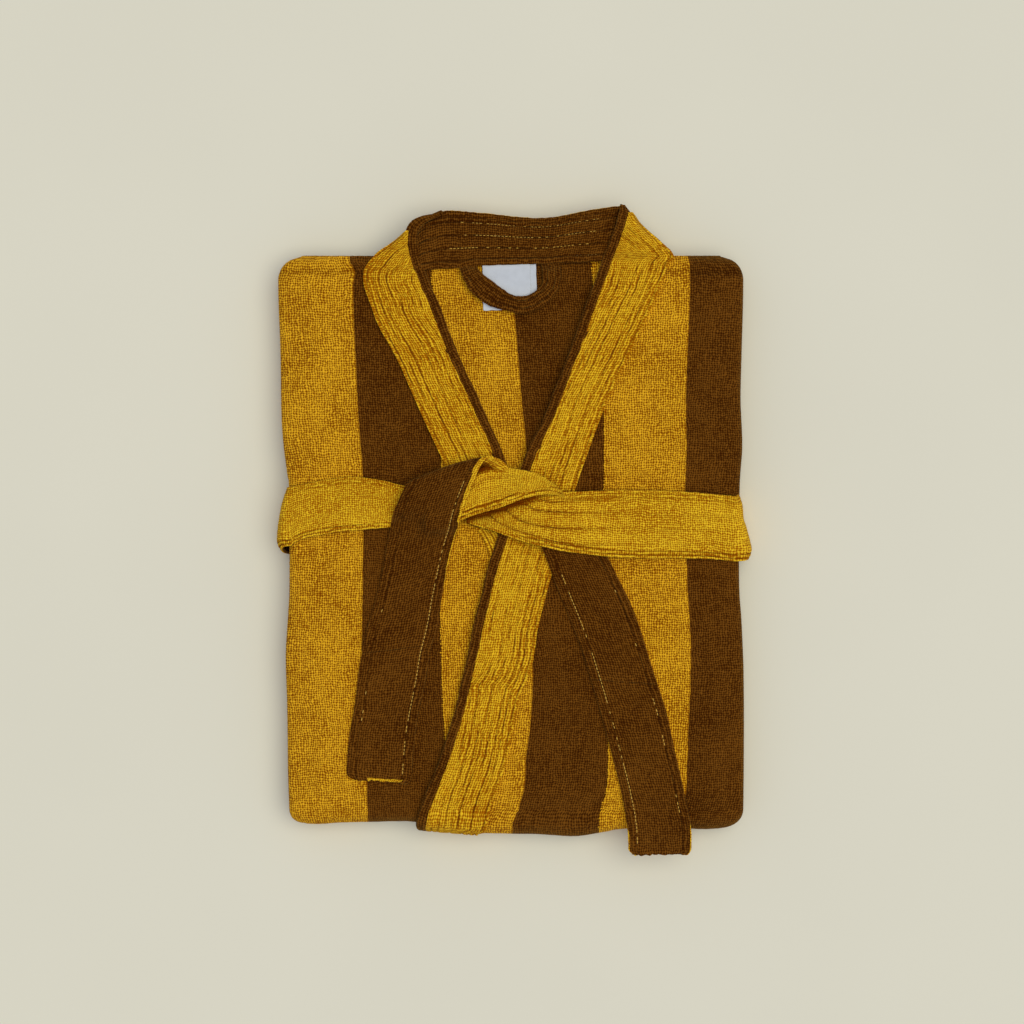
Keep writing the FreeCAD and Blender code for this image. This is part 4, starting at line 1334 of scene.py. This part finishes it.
def tail_threads(mid, out, half, u, v, shares):
    """Stitches down both long edges, as many of them clear of the pile as shares say."""
    rows = (v[:, 0] > 56) & (v[:, 0] < v[-1, 0] - 5)
    runs = []
    for inset, share, seed in ((8.0, shares[0], 90), (TAIL_WIDTH - 8.0, shares[1], 91)):
        column = np.argmin(np.abs(u - inset))
        normals = out[rows, column]
        line = mid[rows, column] + normals * (half[rows, column] + 0.2)[:, None]
        runs.append(stitched(line, normals, 3.5, 3.0, 0.42, share, seed))
    return runs


def tail_part(name, mid, half, uv, reverse, painted_shading, open_row):
    """Part of a tail: closed all round, with a square end where two parts meet."""
    rows, cols = half.shape
    out = facing_out(mid) * half[..., None]
    free = np.ones((rows, cols), bool)
    free[:, 0] = free[:, -1] = free[-1 - open_row] = False
    top = np.arange(rows * cols).reshape(rows, cols)
    under = top.copy()
    under[free] = rows * cols + np.arange(free.sum())
    verts = np.concatenate([(mid + out).reshape(-1, 3), (mid - out)[free]])
    uvs = np.concatenate([uv.reshape(-1, 2), uv[free]])
    # painted shade at each point, the same on the under side
    dark = np.concatenate([painted_shading.ravel(), painted_shading[free]])
    faces = np.concatenate([quads(top, (0, 1, 2, 3)), quads(under, (3, 2, 1, 0))])
    cap = np.concatenate([top[open_row], under[open_row, -2:0:-1]])
    cap = cap[::-1] if open_row == -1 else cap
    slots = np.ones((2, rows - 1, cols - 1), int)
    slots[0] = reverse[1:, 1:] & reverse[1:, :-1]
    slots = np.append(slots.ravel(), 0)
    materials = [BROWN_TERRY, BELT_TERRY]
    return mesh_object(name + "_cloth", verts, [faces, cap[None, :]], materials, uvs, slots, 1, dark)


# ---- underside and inside ----
def pockets():
    """A patch pocket on each front, under the packet."""
    for name, side, tone in (("left_pocket", 1, STRIPE), ("right_pocket", -1, 0.0)):
        low, high = extent(name)
        u, v = stations(high[0] - low[0], 4.0), stations(high[1] - low[1], 4.0)
        x, y = np.meshgrid(low[0] + u, high[1] - v)
        reach = high[0] - (low[0] + high[0]) / 2
        out = x - (low[0] + high[0]) / 2
        x = x - np.sign(out) * corner_inset(high[1] - y, 12.0) * np.abs(out) / reach
        mid = grid_of(x, y, (low[2] + high[2]) / 2)[:, ::-1]
        uv = grid_of(x - 84 * side + tone, y)[:, ::-1]
        robe_cloth(name, mid, half_thickness(v, u, SHEET), uv, "striped_terry")


def flat_tube(name, slot, columns=4.0, thick=None):
    """A hidden soft piece as a closed, rounded pad in its CAD node's space."""
    low, high = extent(name)
    thick = thick or high[2] - low[2]
    u, v = stations(high[0] - low[0], columns), stations(high[1] - low[1], columns)
    x, y = np.meshgrid(low[0] + u, high[1] - v)
    half = half_thickness(v, u, thick, min(3.0, thick))
    robe_cloth(name, grid_of(x, y, (low[2] + high[2]) / 2), half, grid_of(x, y), slot)


def inside_pieces():
    """The sleeves, belt loops and care label, hidden in the packet."""
    for side in ("left", "right"):
        flat_tube(f"{side}_sleeve", "striped_terry", 6.0)
        flat_tube(f"{side}_belt_loop", "brown_terry")
    flat_tube("care_label", "white_tape", thick=0.4)


# ---- stage ----
FLOOR_COLOUR = (0.80, 0.775, 0.645, 1)
FLOOR_REACH = 4000.0
SKY_COLOUR = (0.88, 1.0, 1.36, 1)
SKY_STRENGTH = 0.34
SUN_COLOUR = (1.081, 1.0, 0.758)
SUN_STRENGTH = 1.657
SUN_SPREAD = 62                        # degrees across
SUN_HEADING = (-0.27, -0.02, -1.0)
WIDTH_SEEN = 0.942                     # m across the picture, at the height the camera is aimed at
VIEW_Y, VIEW_Z = 0.0156, 0.036         # m, where the camera is aimed


def stage():
    """A pale floor, soft studio light from above and a camera that looks straight down."""
    scene = bpy.context.scene
    n = Nodes("floor")
    colour = n.scaled(FLOOR_COLOUR, n.remap(n.space_noise(3.0), 0.3, 0.7, 0.99, 1.01))
    material = n.finished(Base_Color=colour, Roughness=0.9, Specular_IOR_Level=0.1)
    corners = FLOOR_REACH * np.array([[-1, -1, 0], [1, -1, 0], [1, 1, 0], [-1, 1, 0]])
    mesh_object("floor", corners, [np.array([[0, 1, 2, 3]])], [material])
    scene.world = bpy.data.worlds.new("studio")
    scene.world.use_nodes = True
    sky = scene.world.node_tree.nodes["Background"].inputs
    sky[0].default_value, sky[1].default_value = SKY_COLOUR, SKY_STRENGTH
    lamp = bpy.data.lights.new("softbox", "SUN")
    lamp.angle = math.radians(SUN_SPREAD)
    lamp.energy = SUN_STRENGTH
    lamp.color = SUN_COLOUR
    light = bpy.data.objects.new("softbox", lamp)
    light.rotation_euler = Vector(SUN_HEADING).to_track_quat("-Z", "Y").to_euler()
    scene.collection.objects.link(light)
    camera = bpy.data.objects.new("camera", bpy.data.cameras.new("camera"))
    camera.data.sensor_width = 24.0
    camera.data.lens = 50.0
    distance = WIDTH_SEEN * camera.data.lens / camera.data.sensor_width
    camera.location = (0.0, VIEW_Y, VIEW_Z + distance)
    scene.collection.objects.link(camera)
    scene.camera = camera
    scene.view_settings.view_transform = "Standard"


# ---- build ----
blow_up()
back_panel()
front_panels()
front_bands()
collar()
neck_label()
hanging_loop()
pockets()
inside_pieces()

robe_top = Ground()
for side in ("left", "right"):
    for node in ("front_panel", "front_band", "band_facing"):
        robe_top.add_piece(bpy.data.objects[f"{side}_{node}_cloth"])
under_belt = robe_top.swept(BELT_TRAVEL)
add_tail("right", RIGHT_TAIL_EDGES, under_belt, 318.0, -40.0, (0.85, 0.08), RIGHT_TAIL_RIMS)
under_belt.add_piece(bpy.data.objects["belt_right_tail_upper_cloth"])
under_belt.add_piece(belt_wrap(under_belt))
under_belt.add_piece(belt_knot(under_belt))
add_tail("left", LEFT_TAIL_EDGES, under_belt, 335.0, 42.0, (0.12, 0.85), LEFT_TAIL_RIMS, end_rim=34.0)
stage()
